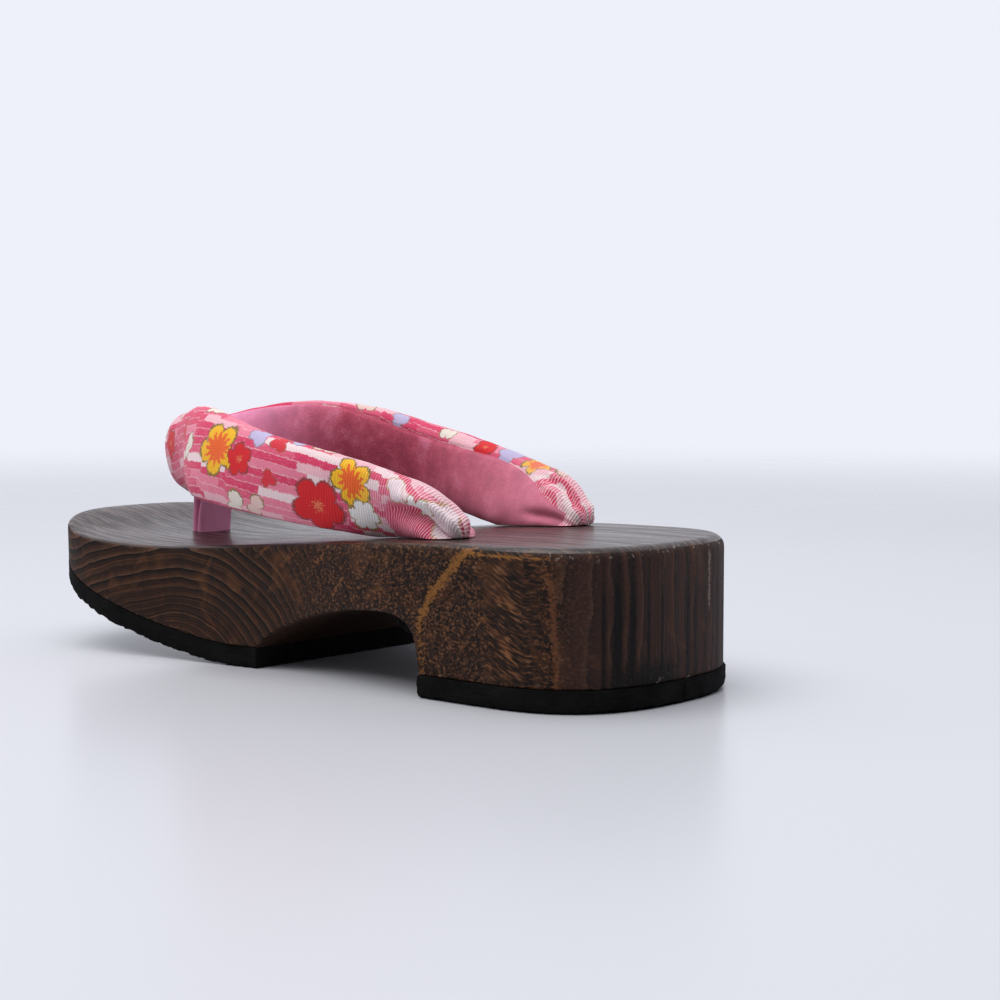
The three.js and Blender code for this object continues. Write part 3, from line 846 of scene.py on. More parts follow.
def strap_arm(sign):
    """Rings of one arm with the cloth's own coordinates: along the arm and round it, in mm."""
    eased = np.linspace(0, 1, ARM_STEPS + 1)
    stations = STRAP_END * (eased - 0.05 * np.sin(2 * np.pi * eased) / np.pi)
    rows, angles = [], []
    for at in stations:
        run = unit(strap_middle(min(at + 0.02, STRAP_END)) - strap_middle(at - 0.02))
        out = unit(np.array([-run[1], run[0], 0]))
        up = -np.cross(run, out)
        up = -up if up[2] < 0 else up
        lean = math.radians(float(along(STRAP, 6, at)))
        wide = up * math.cos(lean) + out * math.sin(lean)
        thick = out * math.cos(lean) - up * math.sin(lean)
        rows.append((strap_middle(at), wide, thick))
        lower, upper = (float(a) for a in seam_angles(at))
        angles.append(np.concatenate([
            np.linspace(lower, upper, PRINT_COLUMNS, endpoint=False),
            np.linspace(upper, lower + 360, VELVET_COLUMNS, endpoint=False),
        ]))
    middles, wide, thick = (np.array(column) for column in zip(*rows))
    angles = np.array(angles)
    length = line_length(middles)
    half_width, half_thick = (along(STRAP, column, stations)[:, None] / 2 for column in (4, 5))
    cosine, sine = np.cos(np.radians(angles)), np.sin(np.radians(angles))
    a = half_thick * squared(cosine, STRAP_SQUARENESS)
    b = half_width * squared(sine, STRAP_SQUARENESS)
    # The cloth moves in and out along the normal of the section's outline.
    normal = unit(np.stack([cosine / half_thick, sine / half_width], -1))
    push = cloth_relief(sign, stations, length, angles, half_width)
    a, b = a + normal[..., 0] * push, b + normal[..., 1] * push
    points = middles[:, None] + thick[:, None] * a[..., None] + wide[:, None] * b[..., None]
    step = np.linalg.norm(np.roll(points, -1, axis=1) - points, axis=2)
    girth = np.concatenate([np.zeros((len(points), 1)), np.cumsum(step, 1)[:, :-1]], 1)
    outer = np.argmin(np.abs(angles), axis=1)[:, None]
    across = girth - np.take_along_axis(girth, outer, 1)
    run_along = np.repeat(length[:, None], points.shape[1], 1)
    # The gathered end closes over the hole in a blunt nose.
    run = unit(middles[-1] - middles[-4])
    last = points[-1]
    centre = last.mean(0)
    nose, nose_along = [], []
    for i in range(1, END_STEPS + 1):
        angle = i / END_STEPS * np.pi / 2
        shrink = max(math.cos(angle), 0.0) ** 0.75 if i < END_STEPS else 0.02
        nose.append(centre + (last - centre) * shrink + run * END_BULGE * math.sin(angle))
        nose_along.append(np.full(len(last), length[-1] + END_BULGE * angle))
    points = np.concatenate([points, nose])
    across = np.concatenate([across, np.repeat(across[-1:], END_STEPS, 0)])
    run_along = np.concatenate([run_along, nose_along])
    # The lower face rests on the wood.
    points[..., 2] = np.maximum(points[..., 2], top_height(points[..., 1]) + GAP + REST_GAP)
    # The first ring reaches a little past the middle, where the arms are cut and joined.
    points[0, :, 0] = -0.02
    return points * (sign, 1, 1), run_along * sign, across


def degrees_apart(angles, middle):
    """How far angles are from another, from -180 to 180."""
    return (angles - middle + 180) % 360 - 180


def cloth_relief(sign, stations, length, angles, half_width):
    """How far the cloth stands out or in, in mm: seams, folds at the rear and slack in between."""
    at = stations[:, None]
    radius = (half_width + 6) / 2 * 0.9
    cosine, sine = np.cos(np.radians(angles)), np.sin(np.radians(angles))
    push = np.zeros_like(angles)
    for seam in seam_angles(stations):
        away = np.radians(degrees_apart(angles, seam[:, None])) * radius
        push -= 0.42 * hump(away, 0.55) * smoothstep(0.2, 0.9, at)
    for start, first, last, depth, half in FOLDS[sign]:
        middle = first + (last - first) * smoothstep(start, STRAP_END, at)
        away = np.radians(degrees_apart(angles, middle)) * radius
        grow = smoothstep(start, start + 0.5 * (STRAP_END - start), at)
        lips = hump(np.abs(away) - 2.1 * half, 1.1 * half)
        push += grow * depth * (0.22 * lips - hump(away, half))
    # The turn at the toe is stuffed full, so its outer side stays round.
    push += 1.7 * hump(at - 0.98, 0.36) * np.clip(cosine, 0, 1) ** 0.7
    # The left arm is pressed a little flatter on top.
    if sign < 0:
        push -= 1.15 * hump(at - 1.85, 0.6) * np.clip(sine, 0, 1) ** 3
    slack = ripple(3 + sign, length[:, None], sine * 9, spread=9)
    fine = ripple(8 + sign, length[:, None], cosine * 8, spread=3.5)
    push += smoothstep(0.6, 1.2, at) * (0.22 * slack + 0.07 * fine)
    return push


def half_strap(sign):
    """One arm as a working mesh, cut off at the middle plane, with its own coordinates on it."""
    points, run_along, across = strap_arm(sign)
    rows, columns = points.shape[:2]
    work = bmesh.new()
    layers = [work.verts.layers.float.new(name) for name in ("along", "across")]
    verts = []
    for point, *values in zip(points.reshape(-1, 3) * MM, run_along.ravel(), across.ravel()):
        vert = work.verts.new(point)
        for layer, value in zip(layers, values):
            vert[layer] = value
        verts.append(vert)
    for face in grid_faces(rows, columns, closed=True, flip=sign > 0):
        made = work.faces.new([verts[i] for i in face])
        round_it = face % columns
        printed = min(round_it) < PRINT_COLUMNS and max(round_it) <= PRINT_COLUMNS
        # The gathered nose is all printed cloth, tucked in.
        tucked = min(face) // columns >= rows - END_STEPS - 4
        made.material_index = 0 if printed or tucked else 1
    tip = verts[-columns:]
    work.faces.new(tip if sign > 0 else tip[::-1])
    bmesh.ops.bisect_plane(
        work, geom=[*work.verts, *work.edges, *work.faces], dist=1e-7,
        plane_co=(0, 0, 0), plane_no=(-sign, 0, 0), clear_outer=True,
    )
    bmesh.ops.delete(work, geom=[v for v in work.verts if not v.link_faces], context="VERTS")
    return work


def padded_strap(settings):
    """Both arms of the stuffed tube, sewn into one at the toe: printed outside, velvet inside."""
    mesh = bpy.data.meshes.new("padded_strap")
    right, work = half_strap(1), half_strap(-1)
    right.to_mesh(mesh)
    right.free()
    work.from_mesh(mesh)
    middle = [v for v in work.verts if abs(v.co.x) < 2e-6]
    bmesh.ops.remove_doubles(work, verts=middle, dist=3e-5)
    bmesh.ops.recalc_face_normals(work, faces=work.faces)
    work.to_mesh(mesh)
    is_open = any(len(edge.link_faces) != 2 for edge in work.edges)
    work.free()
    if is_open:
        raise RuntimeError("the strap's halves don't close along their join")
    strap = new_object("padded_strap", mesh)
    smooth(strap, 60)
    mesh.materials.append(printed_crepe(settings))
    mesh.materials.append(velvet("rayon_velvet_strap_lining", settings, pale_from=42.0, pale_to=80.0))
    return strap


def blossom_group():
    """A printed flower: lobed petals with a thin outline round a stippled heart."""
    tree = bpy.data.node_groups.new("printed_blossom", "ShaderNodeTree")
    for kind, names in (
        ("Vector", ("Spot", "Centre")),
        ("Float", ("Radius", "Petals", "Turn", "Lobe", "Heart")),
        ("Color", ("Ground", "Petal", "Middle", "Line")),
    ):
        for name in names:
            tree.interface.new_socket(name, in_out="INPUT", socket_type="NodeSocket" + kind)
    tree.interface.new_socket("Cloth", in_out="OUTPUT", socket_type="NodeSocketColor")
    given = tree.nodes.new("NodeGroupInput").outputs
    add = partial(add_node, tree)
    apart = add("VectorMath", given["Spot"], given["Centre"], operation="SUBTRACT")
    away = add("VectorMath", apart, operation="LENGTH", out="Value")
    across = add("SeparateXYZ", apart, out="Y")
    ahead = add("SeparateXYZ", apart, out="X")
    angle = add("Math", across, ahead, operation="ARCTAN2")
    angle = add("Math", angle, given["Turn"], operation="ADD")
    half = add("Math", given["Petals"], 0.5, operation="MULTIPLY")
    angle = add("Math", angle, half, operation="MULTIPLY")
    wave = add("Math", angle, operation="COSINE")
    wave = add("Math", wave, operation="ABSOLUTE")
    wave = add("Math", wave, 0.6, operation="POWER")
    lobe = add("Math", wave, 1.0, operation="SUBTRACT")
    reach = add("Math", lobe, given["Lobe"], 1.0, operation="MULTIPLY_ADD")
    reach = add("Math", reach, given["Radius"], operation="MULTIPLY")
    share = add("Math", away, reach, operation="DIVIDE")
    stipple = add("TexNoise", Vector=given["Spot"], Scale=1.3, Detail=2.0)
    share = add("Math", stipple, 0.28, share, operation="MULTIPLY_ADD")
    line = add("MapRange", share, 1.28, 1.18)
    cloth = add("MixRGB", line, given["Ground"], given["Line"])
    petal = add("MapRange", share, 1.14, 1.08)
    cloth = add("MixRGB", petal, cloth, given["Petal"])
    ring = add("Math", away, given["Radius"], operation="DIVIDE")
    ring = add("Math", stipple, 0.5, ring, operation="MULTIPLY_ADD")
    # The heart ends in stamens, so its edge is rayed.
    rays = add("Math", angle, 5.0, operation="MULTIPLY")
    rays = add("Math", rays, operation="COSINE")
    ring = add("Math", rays, 0.13, ring, operation="MULTIPLY_ADD")
    heart = add("Math", given["Heart"], ring, operation="SUBTRACT")
    heart = add("MapRange", heart, 0.2, 0.3)
    cloth = add("MixRGB", heart, cloth, given["Middle"])
    end = tree.nodes.new("NodeGroupOutput")
    tree.links.new(cloth, end.inputs[0])
    return tree


# Petal, middle and outline colours of each kind of motif, then petals, depth between them and
# size of the heart as shares of the radius.
MOTIFS = {
    "yellow": ("#fbbd14", "#f4641e", "#7d6a2a", 5, 0.42, 1.05),
    "red": ("#df121d", "#ea8a5c", "#95383a", 5, 0.36, 0.62),
    "white": ("#f6f1ee", "#f9f5f2", "#a3873f", 6, 0.36, 0.2),
    "leaf": ("#efe3d6", "#e2d6b4", "#8a7840", 2, 0.85, 0.1),
    "bud": ("#dd2c3c", "#e8707a", "#a0604a", 3, 0.6, 0.2),
    "lilac": ("#c4b8dc", "#a39bd0", "#9a8c9c", 3, 0.5, 0.3),
    "sprig": ("#ecc9c0", "#d9b49a", "#84743a", 2, 0.9, 0.1),
    "rose": ("#e0416b", "#dc3a66", "#e2557a", 3, 0.1, 0.1),
    "blush": ("#f6dfe4", "#f4c8d4", "#c9a070", 4, 0.3, 0.5),
}

# The print: motif, place along the strap (minus is the left arm), place up from the middle of the outer face,
# radius and turn in degrees.
PRINT = [
    ("bud", -46, 6.5, 3.4, 40),
    ("leaf", -57, 1.5, 4.2, 60),
    ("bud", -52, -9, 3.0, 10),
    ("yellow", -74.6, 3.9, 8.2, 20),
    ("red", -85.0, 3.6, 5.0, 70),
    ("lilac", -89.5, 12.6, 4.0, 0),
    ("leaf", -84.6, -10.6, 4.6, 75),
    ("sprig", -92.6, -9.4, 4.0, 60),
    ("bud", -98.4, 11.8, 3.2, 15),
    ("bud", -97.4, 0.4, 2.8, 50),
    ("red", -114.6, -3.6, 8.6, 25),
    ("yellow", -126.0, 7.6, 7.2, 10),
    ("white", -130.4, -1.8, 5.4, 0),
    ("sprig", -113, 16.5, 4.4, 0),
    ("lilac", -104, 17.0, 4.0, 90),
    ("leaf", -62, 17.0, 4.6, 0),
    ("sprig", -30, 15.0, 4.6, 20),
    ("red", -21, 4.0, 4.8, 0),
    ("leaf", -12, 11.5, 4.4, 80),
    ("rose", -147.5, 1.5, 8.4, 0),
    ("rose", -156.5, 3.0, 6.0, 0),
    ("blush", -159.5, 14.0, 8.0, 10),
    ("blush", -143.0, 12.0, 3.8, 0),
    ("white", -151.8, 12.8, 4.4, 15),
    ("yellow", 15, 1.0, 6.4, 5),
    ("bud", 28, 10.0, 3.4, 30),
    ("leaf", 34, -6.0, 4.6, 70),
    ("white", 43, 7.0, 5.4, 10),
    ("red", 58, -1.0, 8.0, 40),
    ("yellow", 70, 9.0, 6.6, 15),
    ("sprig", 62, 17.5, 3.4, 10),
    ("leaf", 80, -5.0, 4.8, 35),
    ("lilac", 76, 18.5, 3.4, 20),
    ("bud", 88, 6.0, 3.4, 70),
    ("leaf", 97, 17.5, 3.4, 5),
    ("red", 101, -2.0, 5.2, 10),
    ("yellow", 117, 3.0, 7.0, 50),
    ("red", 116, 18.0, 4.4, 0),
    ("lilac", 127, 17.5, 4.8, 30),
    ("white", 131, -3.0, 5.4, 5),
    ("yellow", 139, 18.0, 4.6, 60),
    ("leaf", 146, 6.0, 4.6, 50),
    ("sprig", 150, 17.0, 4.6, 30),
    ("bud", 155, 9.0, 3.6, 0),
]


def lay_print(made, inked, cloth):
    """Lays the flowers one over another on the ground cloth."""
    flower = blossom_group()
    tree = made.node_tree
    for kind, where, up, radius, turn in PRINT:
        petal, middle, line, petals, lobe, heart = MOTIFS[kind]
        group = tree.nodes.new("ShaderNodeGroup")
        group.node_tree = flower
        values = {
            "Centre": (where, up, 0), "Radius": radius, "Petals": petals, "Turn": math.radians(turn),
            "Lobe": lobe, "Heart": heart, "Petal": linear(petal), "Middle": linear(middle),
            "Line": linear(line),
        }
        for name, value in values.items():
            group.inputs[name].default_value = value
        tree.links.new(inked, group.inputs["Spot"])
        tree.links.new(cloth, group.inputs["Ground"])
        cloth = group.outputs[0]
    return cloth


def printed_crepe(settings):
    """Chirimen crepe of rayon, woven with twisted weft and then printed: ribs across the strap
    that catch the light, and ink that follows the ribs."""
    made, add = new_material("chirimen_crepe_printed")
    run = add("Attribute", attribute_name="along", out="Fac")
    rise = add("Attribute", attribute_name="across", out="Fac")
    spot = add("CombineXYZ", run, rise)
    # The ink bleeds about 0.3 mm along the ribs.
    bleed = add("TexNoise", Vector=spot, Scale=0.9, Detail=3.0, out="Color")
    bleed = add("VectorMath", bleed, (0.5, 0.5, 0.5), operation="SUBTRACT")
    bleed = add("VectorMath", bleed, Scale=1.5, operation="SCALE")
    inked = add("VectorMath", spot, bleed, operation="ADD")
    # Rows of bars 2.6 mm high, each row shifted by its own amount.
    height, length = settings.bar_height / MM, settings.bar_length / MM
    rise_inked = add("SeparateXYZ", inked, out="Y")
    rows_up = add("Math", rise_inked, height, operation="DIVIDE")
    shift = add("TexWhiteNoise", W=add("Math", rows_up, operation="FLOOR"), noise_dimensions="1D")
    shift = add("CombineXYZ", add("Math", shift, length, operation="MULTIPLY"))
    shade = add(
        "TexBrick", Vector=add("VectorMath", inked, shift, operation="ADD"), offset=0.0,
        Color1="#000000", Color2="#ffffff", Mortar=(0.5, 0.5, 0.5, 1), Scale=1.0,
        **{"Mortar Size": 0.0, "Brick Width": length, "Row Height": height},
    )
    cloth = add(
        "ValToRGB", shade,
        stops=[
            (0.0, settings.deep_pink),
            (0.34, settings.mid_pink),
            (0.52, settings.pale_pink),
            (0.7, "#f6dadb"),
            (0.82, "#e5577a"),
        ],
    )
    cloth.node.color_ramp.interpolation = "CONSTANT"
    # Thin pale joints between the rows.
    joint = add("MapRange", add("Math", rows_up, operation="FRACT"), 0.16, 0.06, 0.0, 0.5)
    cloth = add("MixRGB", joint, cloth, "#f8d9dc")
    # Dry ink: threads show through in pale dashes.
    dry = add("MapRange", stretched_noise(add, spot, (0.5, 2.4, 1.0), 3.0), 0.56, 0.7, 0.0, 0.22)
    cloth = add("MixRGB", dry, cloth, "#f6dfe0")
    cloth = lay_print(made, inked, cloth)
    # Crepe ribs about 1 mm apart across the strap, each wavering.
    waver = add("TexNoise", Vector=spot, Scale=0.35, Detail=2.0)
    phase = add("Math", waver, 7.0, operation="MULTIPLY")
    turns = add("Math", run, 2 * math.pi / (settings.rib_spacing / MM), phase, operation="MULTIPLY_ADD")
    rib = add("Math", turns, operation="SINE")
    thread = stretched_noise(add, spot, (3.0, 1.2, 1.0), 3.0)
    # The ribs show most where the cloth is gathered and pulled, near the rear ends.
    from_toe = add("Math", run, operation="ABSOLUTE")
    rib = add("Math", rib, add("MapRange", from_toe, 105.0, 135.0, 0.14, 0.5), operation="MULTIPLY")
    relief = add("Math", rib, thread, operation="ADD")
    # Painted shade in the rib valleys and painted highlight on their crests: the colour is darkened and
    # lightened by the relief's height.
    painted_rib_shade = add("MapRange", relief, -0.1, 1.0, 0.84, 1.1)
    cloth = add("MixRGB", 1.0, cloth, painted_rib_shade, blend_type="MULTIPLY")
    # Pulled tight at the ends, the undyed sides of the ribs show.
    tight = add("MapRange", from_toe, 128.0, 146.0)
    undyed = add("MapRange", rib, 0.0, 0.45, 0.0, 0.5)
    undyed = add("Math", undyed, tight, operation="MULTIPLY")
    cloth = add("MixRGB", undyed, cloth, "#fbe6ea")
    bump = add("Bump", Strength=0.7, Distance=settings.rib_relief, Height=relief)
    surface(add, cloth, 0.72, 1.46, Normal=bump, **{"Sheen Weight": 0.15, "Sheen Roughness": 0.4})
    return made


def velvet(name, settings, pale_from, pale_to):
    """Rayon velvet with a short pile: dusty pink, darker looking into the pile and pale where it is brushed
    the other way, with painted light that makes it paler and paler between two places along the foot."""
    made, add = new_material(name)
    mm = object_mm(add)
    brushed = add("TexNoise", Vector=mm, Scale=0.1, Detail=3.0, Roughness=0.6)
    pile = add("TexNoise", Vector=mm, Scale=2.4, Detail=2.0)
    tone = add("Math", pile, 0.5, brushed, operation="MULTIPLY_ADD")
    colour = add("ValToRGB", tone, stops=[(0.5, "#a54a62"), (0.75, settings.velvet_colour), (1.0, "#dc8099")])
    # Paler and greyer towards the rear holes: partly pile rubbed by walking, partly painted light on the rear
    # ends, which stand in the light.
    along_foot = add("SeparateXYZ", mm, out="Y")
    paled = add("MapRange", along_foot, 14.0, -40.0, 0.0, 0.6)
    colour = add("MixRGB", paled, colour, "#d88a9f")
    # Painted light: paler towards the toe, most on the strap's turn and on the toe loop, where the light
    # falls on them.
    front = add("MapRange", along_foot, pale_from, pale_to, 0.0, 0.9)
    colour = add("MixRGB", front, colour, "#ffadd4")
    mottle = add("MapRange", tone, 0.6, 0.95, 0.9, 1.06)
    colour = add("MixRGB", 1.0, colour, mottle, blend_type="MULTIPLY")
    bump = add("Bump", Strength=0.5, Distance=0.0002, Height=pile)
    sheen = {"Sheen Weight": 0.35, "Sheen Roughness": 0.4, "Sheen Tint": "#f0b8c8"}
    surface(add, colour, 0.95, 1.46, 0.2, Normal=bump, **sheen)
    return made


# ---- toe loop ----

# The velvet band from the front of the hole, up inside the strap's turn, where it is sewn in, and
# down behind it to the hole again: y, z, half width, thickness.
LOOP = np.array([
    (78.0, 35.8, 6.8, 2.3),
    (77.9, 40.0, 6.8, 2.3),
    (77.6, 44.5, 6.8, 2.3),
    (78.0, 47.9, 6.4, 2.1),
    (81.0, 49.7, 5.0, 1.6),
    (86.4, 50.9, 3.4, 1.1),
    (89.4, 53.6, 3.0, 1.0),
    (91.6, 59.0, 3.0, 1.0),
    (91.9, 65.0, 3.0, 1.0),
    (90.2, 69.6, 3.0, 1.0),
    (86.6, 71.6, 3.4, 1.0),
    (81.0, 71.8, 4.2, 1.4),
    (74.6, 73.4, 4.8, 1.8),
    (70.2, 73.2, 5.6, 2.1),
    (69.8, 67.0, 4.6, 2.3),
    (71.2, 58.0, 3.9, 2.4),
    (73.4, 49.0, 6.3, 2.4),
    (74.8, 42.5, 6.9, 2.4),
    (75.6, 35.8, 6.9, 2.4),
])


LOOP_STEPS, LOOP_SIDES = 170, 40  # points along the band and round it


def toe_loop(settings):
    """One band folded over the strap: both layers go down the same hole, side by side."""
    table = np.column_stack([np.arange(len(LOOP), dtype=float), LOOP])
    spread = np.linspace(0, len(LOOP) - 1, LOOP_STEPS)
    y, z, half, thick = (along(table, column, spread)[:, None] for column in range(1, 5))
    run = unit(np.gradient(np.concatenate([y, z], 1), axis=0))
    turn = np.linspace(0, 2 * np.pi, LOOP_SIDES, endpoint=False)
    x = half * squared(np.cos(turn), 3.4)
    # The edges are rolled seams, a little thicker than the middle.
    out = thick / 2 * squared(np.sin(turn), 2.6) * (1 + 0.18 * np.cos(turn) ** 2)
    rings = np.stack([x, y + run[:, 1:] * out, z - run[:, :1] * out], -1)
    rings[..., 1] += 0.06 * ripple(21, rings[..., 0], rings[..., 2], rings[..., 1], spread=6)
    loop = make_piece("toe_loop", rings.reshape(-1, 3), tube_faces(LOOP_STEPS, LOOP_SIDES))
    loop.data.materials.append(velvet("rayon_velvet_toe_loop", settings, pale_from=36.0, pale_to=72.0))
    return loop


# ---- cords and knots ----


HOLE_CORD = {"radius": 3.6, "sides": 24, "lobes": 3}
KNOT_CORD = 1.7  # largest radius of the cord that a knot is tied from


def sweep(path, radius, sides=14, closed=False, lobes=0):
    """Points and faces of a round or twisted cord along a path."""
    path = np.asarray(path, float)
    run = unit(np.roll(path, -1, 0) - np.roll(path, 1, 0) if closed else np.gradient(path, axis=0))
    side = np.cross(run[0], (0.3, 0.5, 0.81))
    frames = []
    for ahead in run:
        side = unit(side - ahead * (side @ ahead))
        frames.append((side, np.cross(ahead, side)))
    first, last = frames[0], frames[-1]
    # A closed path brings the frames back turned, which is made up for a little at each ring.
    slip = math.atan2(last[1] @ first[0], last[0] @ first[0]) if closed else 0.0
    turn = np.linspace(0, 2 * np.pi, sides, endpoint=False)
    rings = []
    for i, (a, b) in enumerate(frames):
        angle = turn + slip * i / len(path)
        size = radius * (1 - 0.07 * (1 + np.cos(lobes * turn - 0.55 * i))) if lobes else radius
        rings.append(path[i] + np.outer(size * np.cos(angle), a) + np.outer(size * np.sin(angle), b))
    points = np.concatenate(rings)
    if closed:
        return points, grid_faces(len(path) + 1, sides, closed=True) % len(points)
    return points, tube_faces(len(path), sides)


def cord_knot(name, node):
    """An overhand knot drawn tight and flat in the space of its CAD solid."""
    low, high = (Vector(corner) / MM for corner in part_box(node))
    centre = (low + high) / 2
    cord = min(KNOT_CORD, (high.z - low.z) * 0.27)
    t = np.linspace(0, 2 * np.pi, 120, endpoint=False)
    ring = ((high.x - low.x) / 2 - cord) * (0.62 + 0.38 * np.cos(3 * t))
    depth = ((high.z - low.z) / 2 - cord) * np.sin(3 * t)
    path = np.stack([ring * np.cos(2 * t), ring * np.sin(2 * t), depth], -1) + np.array(centre)
    return make_piece(name, *sweep(path, cord, closed=True), weld=0)


def cotton_cord():
    """Cotton cord, twisted and dyed black: matt, with the strands just showing."""
    made, add = new_material("cotton_cord_twisted_black")
    # Strands lie about 0.8 mm apart.
    strand = add(
        "TexWave", Vector=object_mm(add), Scale=0.4, Distortion=3.0, Detail=2.0, bands_direction="DIAGONAL",
    )
    colour = add("ValToRGB", strand, stops=[(0.2, "#0a0809"), (0.9, "#1c181a")])
    bump = add("Bump", Strength=0.6, Distance=0.0002, Height=strand)
    surface(add, colour, 0.9, 1.46, 0.1, Normal=bump)
    return made


# ---- settings ----


def size_setting(name, description, default, unit="LENGTH", **more):
    """A setting with a number, in metres unless it has another unit."""
    return bpy.props.FloatProperty(name=name, description=description, default=default, unit=unit, **more)


def colour_setting(name, description, code):
    """A setting with a colour, from its hex code."""
    return bpy.props.FloatVectorProperty(
        name=name, description=description, subtype="COLOR", size=4, min=0, max=1, default=linear(code),
    )


class GetaWoodSettings(bpy.types.PropertyGroup):
    """Sizes and colours of the wooden body and the rubber soles."""

    ring_spacing: size_setting("Ring spacing", "Distance between growth rings", 0.0029, min=0.001)
    ring_tilt: size_setting("Ring tilt", "Rings crossed for each millimetre across the foot", 0.22, "NONE")
    grain_relief: size_setting("Grain relief", "Height of the brushed grain", 0.0005)
    wood_colour: colour_setting("Wood", "Scorched wood between the rings", "#4a2d1d")
    shade_colour: colour_setting("Wood, darker", "Deeper scorched wood", "#301c11")
    ring_colour: colour_setting("Rings", "Dark line at the end of each ring", "#0c0604")
    amber_colour: colour_setting("Amber lines", "Unburnt line at the start of each ring", "#5e4332")
    gold_colour: colour_setting("Golden band", "Unburnt band across the heel block", "#8a5a28")
    rubber_colour: colour_setting("Rubber", "Foam rubber of the soles", "#070707")


class GetaClothSettings(bpy.types.PropertyGroup):
    """Sizes and colours of the strap's cloth and the toe loop."""

    bar_length: size_setting("Bar length", "Length of the printed bars", 0.0155)
    bar_height: size_setting("Bar height", "Height of the printed bars", 0.0026)
    rib_spacing: size_setting("Rib spacing", "Distance between the ribs of the crepe", 0.0009)
    rib_relief: size_setting("Rib relief", "Height of the ribs of the crepe", 0.00022)
    deep_pink: colour_setting("Deep pink", "Darkest printed bars", "#e03a66")
    mid_pink: colour_setting("Mid pink", "Middle printed bars", "#ee8099")
    pale_pink: colour_setting("Pale pink", "Lightest printed bars", "#f4b9c3")
    velvet_colour: colour_setting("Velvet", "Velvet of the lining and the toe loop", "#c8586f")


class GetaStageSettings(bpy.types.PropertyGroup):
    """The light and the floor."""

    key_power: size_setting("Key light", "Power of the overhead softbox", 20.0, "POWER", min=0)
    room_light: size_setting("Room light", "Light from behind, as a share of the backdrop's", 0.29, "NONE")
    room_colour: colour_setting("Room", "Pale light from all round", "#eef0fa")
    floor_colour: colour_setting("Floor", "Smooth pale floor", "#cdced3")
    lens: size_setting("Lens", "Focal length in millimetres", 72.01, "CAMERA")


# ---- operators ----


class GETA_OT_wooden_body(bpy.types.Operator):
    """Builds the carved wooden body with its arch, toe spring and three holes"""

    bl_idname = "geta.wooden_body"
    bl_label = "Wooden body"

    def execute(self, context):
        body = wooden_body(context.scene.geta_wood)
        finish_piece(body, ["wood_body"])
        return {"FINISHED"}


class GETA_OT_rubber_soles(bpy.types.Operator):
    """Builds the two foam rubber soles"""

    bl_idname = "geta.rubber_soles"
    bl_label = "Rubber soles"

    def execute(self, context):
        finish = foam_rubber(context.scene.geta_wood)
        heel = rubber_sole("heel_sole", HEEL_END, HEEL_FRONT, HEEL_FLARE, worn=1.0, seed=5)
        forefoot = rubber_sole("forefoot_sole", FOREFOOT_START, TOE_END, TOE_FLARE, worn=0.4, seed=9)
        for sole, node in ((heel, "heel_rubber"), (forefoot, "forefoot_rubber")):
            sole.data.materials.append(finish)
            finish_piece(sole, [node])
        return {"FINISHED"}


class GETA_OT_padded_strap(bpy.types.Operator):
    """Builds the padded strap with its print, its velvet lining and its gathered ends"""

    bl_idname = "geta.padded_strap"
    bl_label = "Padded strap"

    def execute(self, context):
        strap = padded_strap(context.scene.geta_cloth)
        finish_piece(strap, ["strap"])
        return {"FINISHED"}


class GETA_OT_toe_loop(bpy.types.Operator):
    """Builds the velvet loop that holds the strap down between the toes"""

    bl_idname = "geta.toe_loop"
    bl_label = "Toe loop"

    def execute(self, context):
        loop = toe_loop(context.scene.geta_cloth)
        finish_piece(loop, ["toe_post"])
        return {"FINISHED"}


class GETA_OT_cords(bpy.types.Operator):
    """Builds the cords in the three holes and the knots under them"""

    bl_idname = "geta.cords"
    bl_label = "Cords and knots"

    def execute(self, context):
        finish = cotton_cord()
        pieces = []
        for name in ("rear_knot_left", "rear_knot_right", "toe_knot"):
            knot = cord_knot(name + "_tied", name)
            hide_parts(name)
            pieces.append(knot)
        deck = float(top_height(REAR_HOLE["y"]))
        for sign, name in ((-1, "left"), (1, "right")):
            path = [rear_hole_at(sign, z) for z in np.linspace(ROOF_Z + 0.4, deck + 0.2, 30)]
            pieces.append(make_piece(f"rear_cord_{name}", *sweep(path, **HOLE_CORD), weld=0))
        deck = float(top_height(TOE_HOLE["y"]))
        path = [(0, TOE_HOLE["y"], z) for z in np.linspace(TOE_HOLE["pocket_top"] + 0.2, deck + 0.1, 20)]
        pieces.append(make_piece("toe_cord", *sweep(path, **HOLE_CORD), weld=0))
        for made in pieces:
            made.data.materials.append(finish)
            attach(made, "root")
        return {"FINISHED"}


class GETA_OT_stage(bpy.types.Operator):
    """Lays the floor and sets up the light and the camera"""

    bl_idname = "geta.stage"
    bl_label = "Stage"

    def execute(self, context):
        settings = context.scene.geta_stage
        lay_floor(settings)
        light_room(settings)
        place_camera(settings)
        return {"FINISHED"}


# ---- stage ----


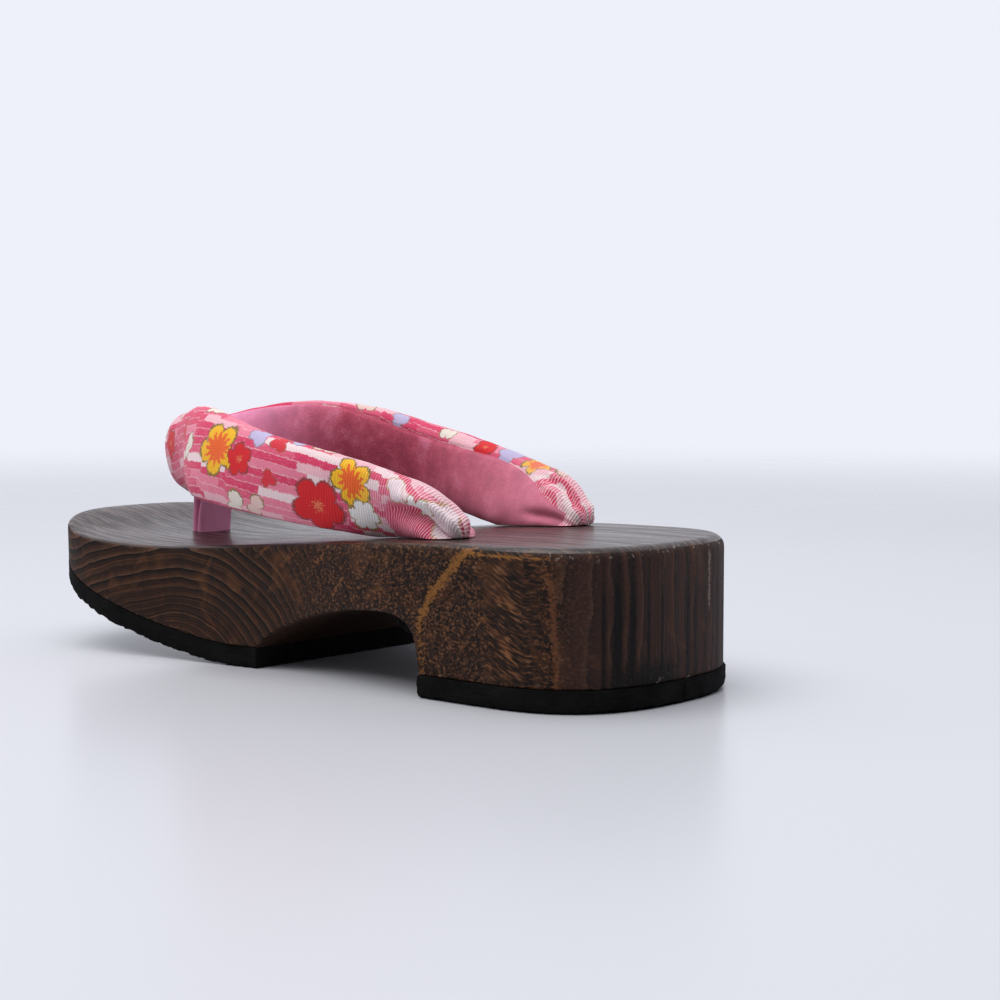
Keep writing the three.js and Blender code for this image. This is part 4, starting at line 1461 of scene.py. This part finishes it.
def lay_floor(settings):
    """A round sheet of smooth coated board that fades into the pale backdrop."""
    rings = [0.0, 200.0, 600.0, 2000.0, 8000.0]
    sides = 64
    turn = np.linspace(0, 2 * np.pi, sides, endpoint=False)
    points = [np.stack([r * np.cos(turn), r * np.sin(turn), np.zeros(sides)], -1) for r in rings]
    floor = make_piece("floor", np.concatenate(points), grid_faces(len(rings), sides, closed=True, flip=True))
    made, add = new_material("coated_board_smooth")
    place = add("TexCoord", out="Object")
    cloud = add("TexNoise", Vector=place, Scale=3.0, Detail=2.0)
    rough = add("MapRange", cloud, 0.0, 1.0, 0.22, 0.34)
    away = add("VectorMath", place, operation="LENGTH", out="Value")
    alpha = add("MapRange", away, 0.4, 1.5, 1.0, 0.0, interpolation_type="SMOOTHERSTEP")
    surface(add, settings.floor_colour, rough, 1.45, 0.2, Alpha=alpha)
    floor.data.materials.append(made)


# The softbox and the camera, in metres: where they stand and what they face.
BOX_SIZE, BOX_PLACE, BOX_AIM = 1.5, (-0.4, 0.05, 1.35), (0, 0, 0.03)


def light_room(settings):
    """A pale backdrop behind the sandal, a darker room behind the camera and one large softbox."""
    world = bpy.data.worlds.new("pale_room")
    world.use_nodes = True
    tree = world.node_tree
    add = partial(add_node, tree)
    around = add("TexCoord", out="Generated")
    ahead = add("VectorMath", around, (*CAMERA_AIM[:2], 0.0), operation="DOT_PRODUCT", out="Value")
    background = tree.nodes["Background"]
    background.inputs[0].default_value = settings.room_colour
    tree.links.new(add("MapRange", ahead, -0.3, 0.5, settings.room_light, 1.0), background.inputs[1])
    bpy.context.scene.world = world
    light = bpy.data.lights.new("softbox", "AREA")
    light.shape = "SQUARE"
    light.size = BOX_SIZE
    light.energy = settings.key_power
    box = new_object("softbox", light)
    box.location = BOX_PLACE
    box.rotation_mode = "QUATERNION"
    box.rotation_quaternion = (Vector(BOX_AIM) - box.location).to_track_quat("-Z", "Y")


CAMERA_PLACE = (-0.4453, -0.43325, 0.0973)
CAMERA_AIM = (0.7566, 0.6494, -0.0759)


def place_camera(settings):
    """A level camera at the rear left, a little above the strap."""
    data = bpy.data.cameras.new("camera")
    data.sensor_width = 36
    data.lens = settings.lens
    data.clip_start, data.clip_end = 0.01, 100
    camera = new_object("camera", data)
    ahead = Vector(CAMERA_AIM).normalized()
    right = ahead.cross(Vector((0, 0, 1))).normalized()
    up = right.cross(ahead)
    turn = Matrix((right, up, -ahead)).transposed()
    camera.matrix_world = Matrix.Translation(CAMERA_PLACE) @ turn.to_4x4()
    bpy.context.scene.camera = camera
    bpy.context.scene.view_settings.view_transform = "Standard"


# ---- panel and registration ----

OPERATORS = (
    GETA_OT_wooden_body,
    GETA_OT_rubber_soles,
    GETA_OT_padded_strap,
    GETA_OT_toe_loop,
    GETA_OT_cords,
    GETA_OT_stage,
)

SETTINGS = {
    "geta_wood": GetaWoodSettings,
    "geta_cloth": GetaClothSettings,
    "geta_stage": GetaStageSettings,
}


class GETA_PT_pieces(bpy.types.Panel):
    """Lists the pieces of the sandal and their settings"""

    bl_idname = "GETA_PT_pieces"
    bl_label = "Geta"
    bl_space_type = "VIEW_3D"
    bl_region_type = "UI"
    bl_category = "Geta"

    def draw(self, context):
        for operator in OPERATORS:
            self.layout.operator(operator.bl_idname)
        for group, kind in SETTINGS.items():
            box = self.layout.box()
            settings = getattr(context.scene, group)
            for name in kind.__annotations__:
                box.prop(settings, name)


def register():
    for group, kind in SETTINGS.items():
        bpy.utils.register_class(kind)
        setattr(bpy.types.Scene, group, bpy.props.PointerProperty(type=kind))
    for kind in (*OPERATORS, GETA_PT_pieces):
        bpy.utils.register_class(kind)


def unregister():
    for kind in reversed((*OPERATORS, GETA_PT_pieces)):
        bpy.utils.unregister_class(kind)
    for group, kind in SETTINGS.items():
        delattr(bpy.types.Scene, group)
        bpy.utils.unregister_class(kind)


def main():
    register()
    bpy.ops.geta.wooden_body()
    bpy.ops.geta.rubber_soles()
    bpy.ops.geta.padded_strap()
    bpy.ops.geta.toe_loop()
    bpy.ops.geta.cords()
    bpy.ops.geta.stage()


if __name__ == "__main__":
    main()
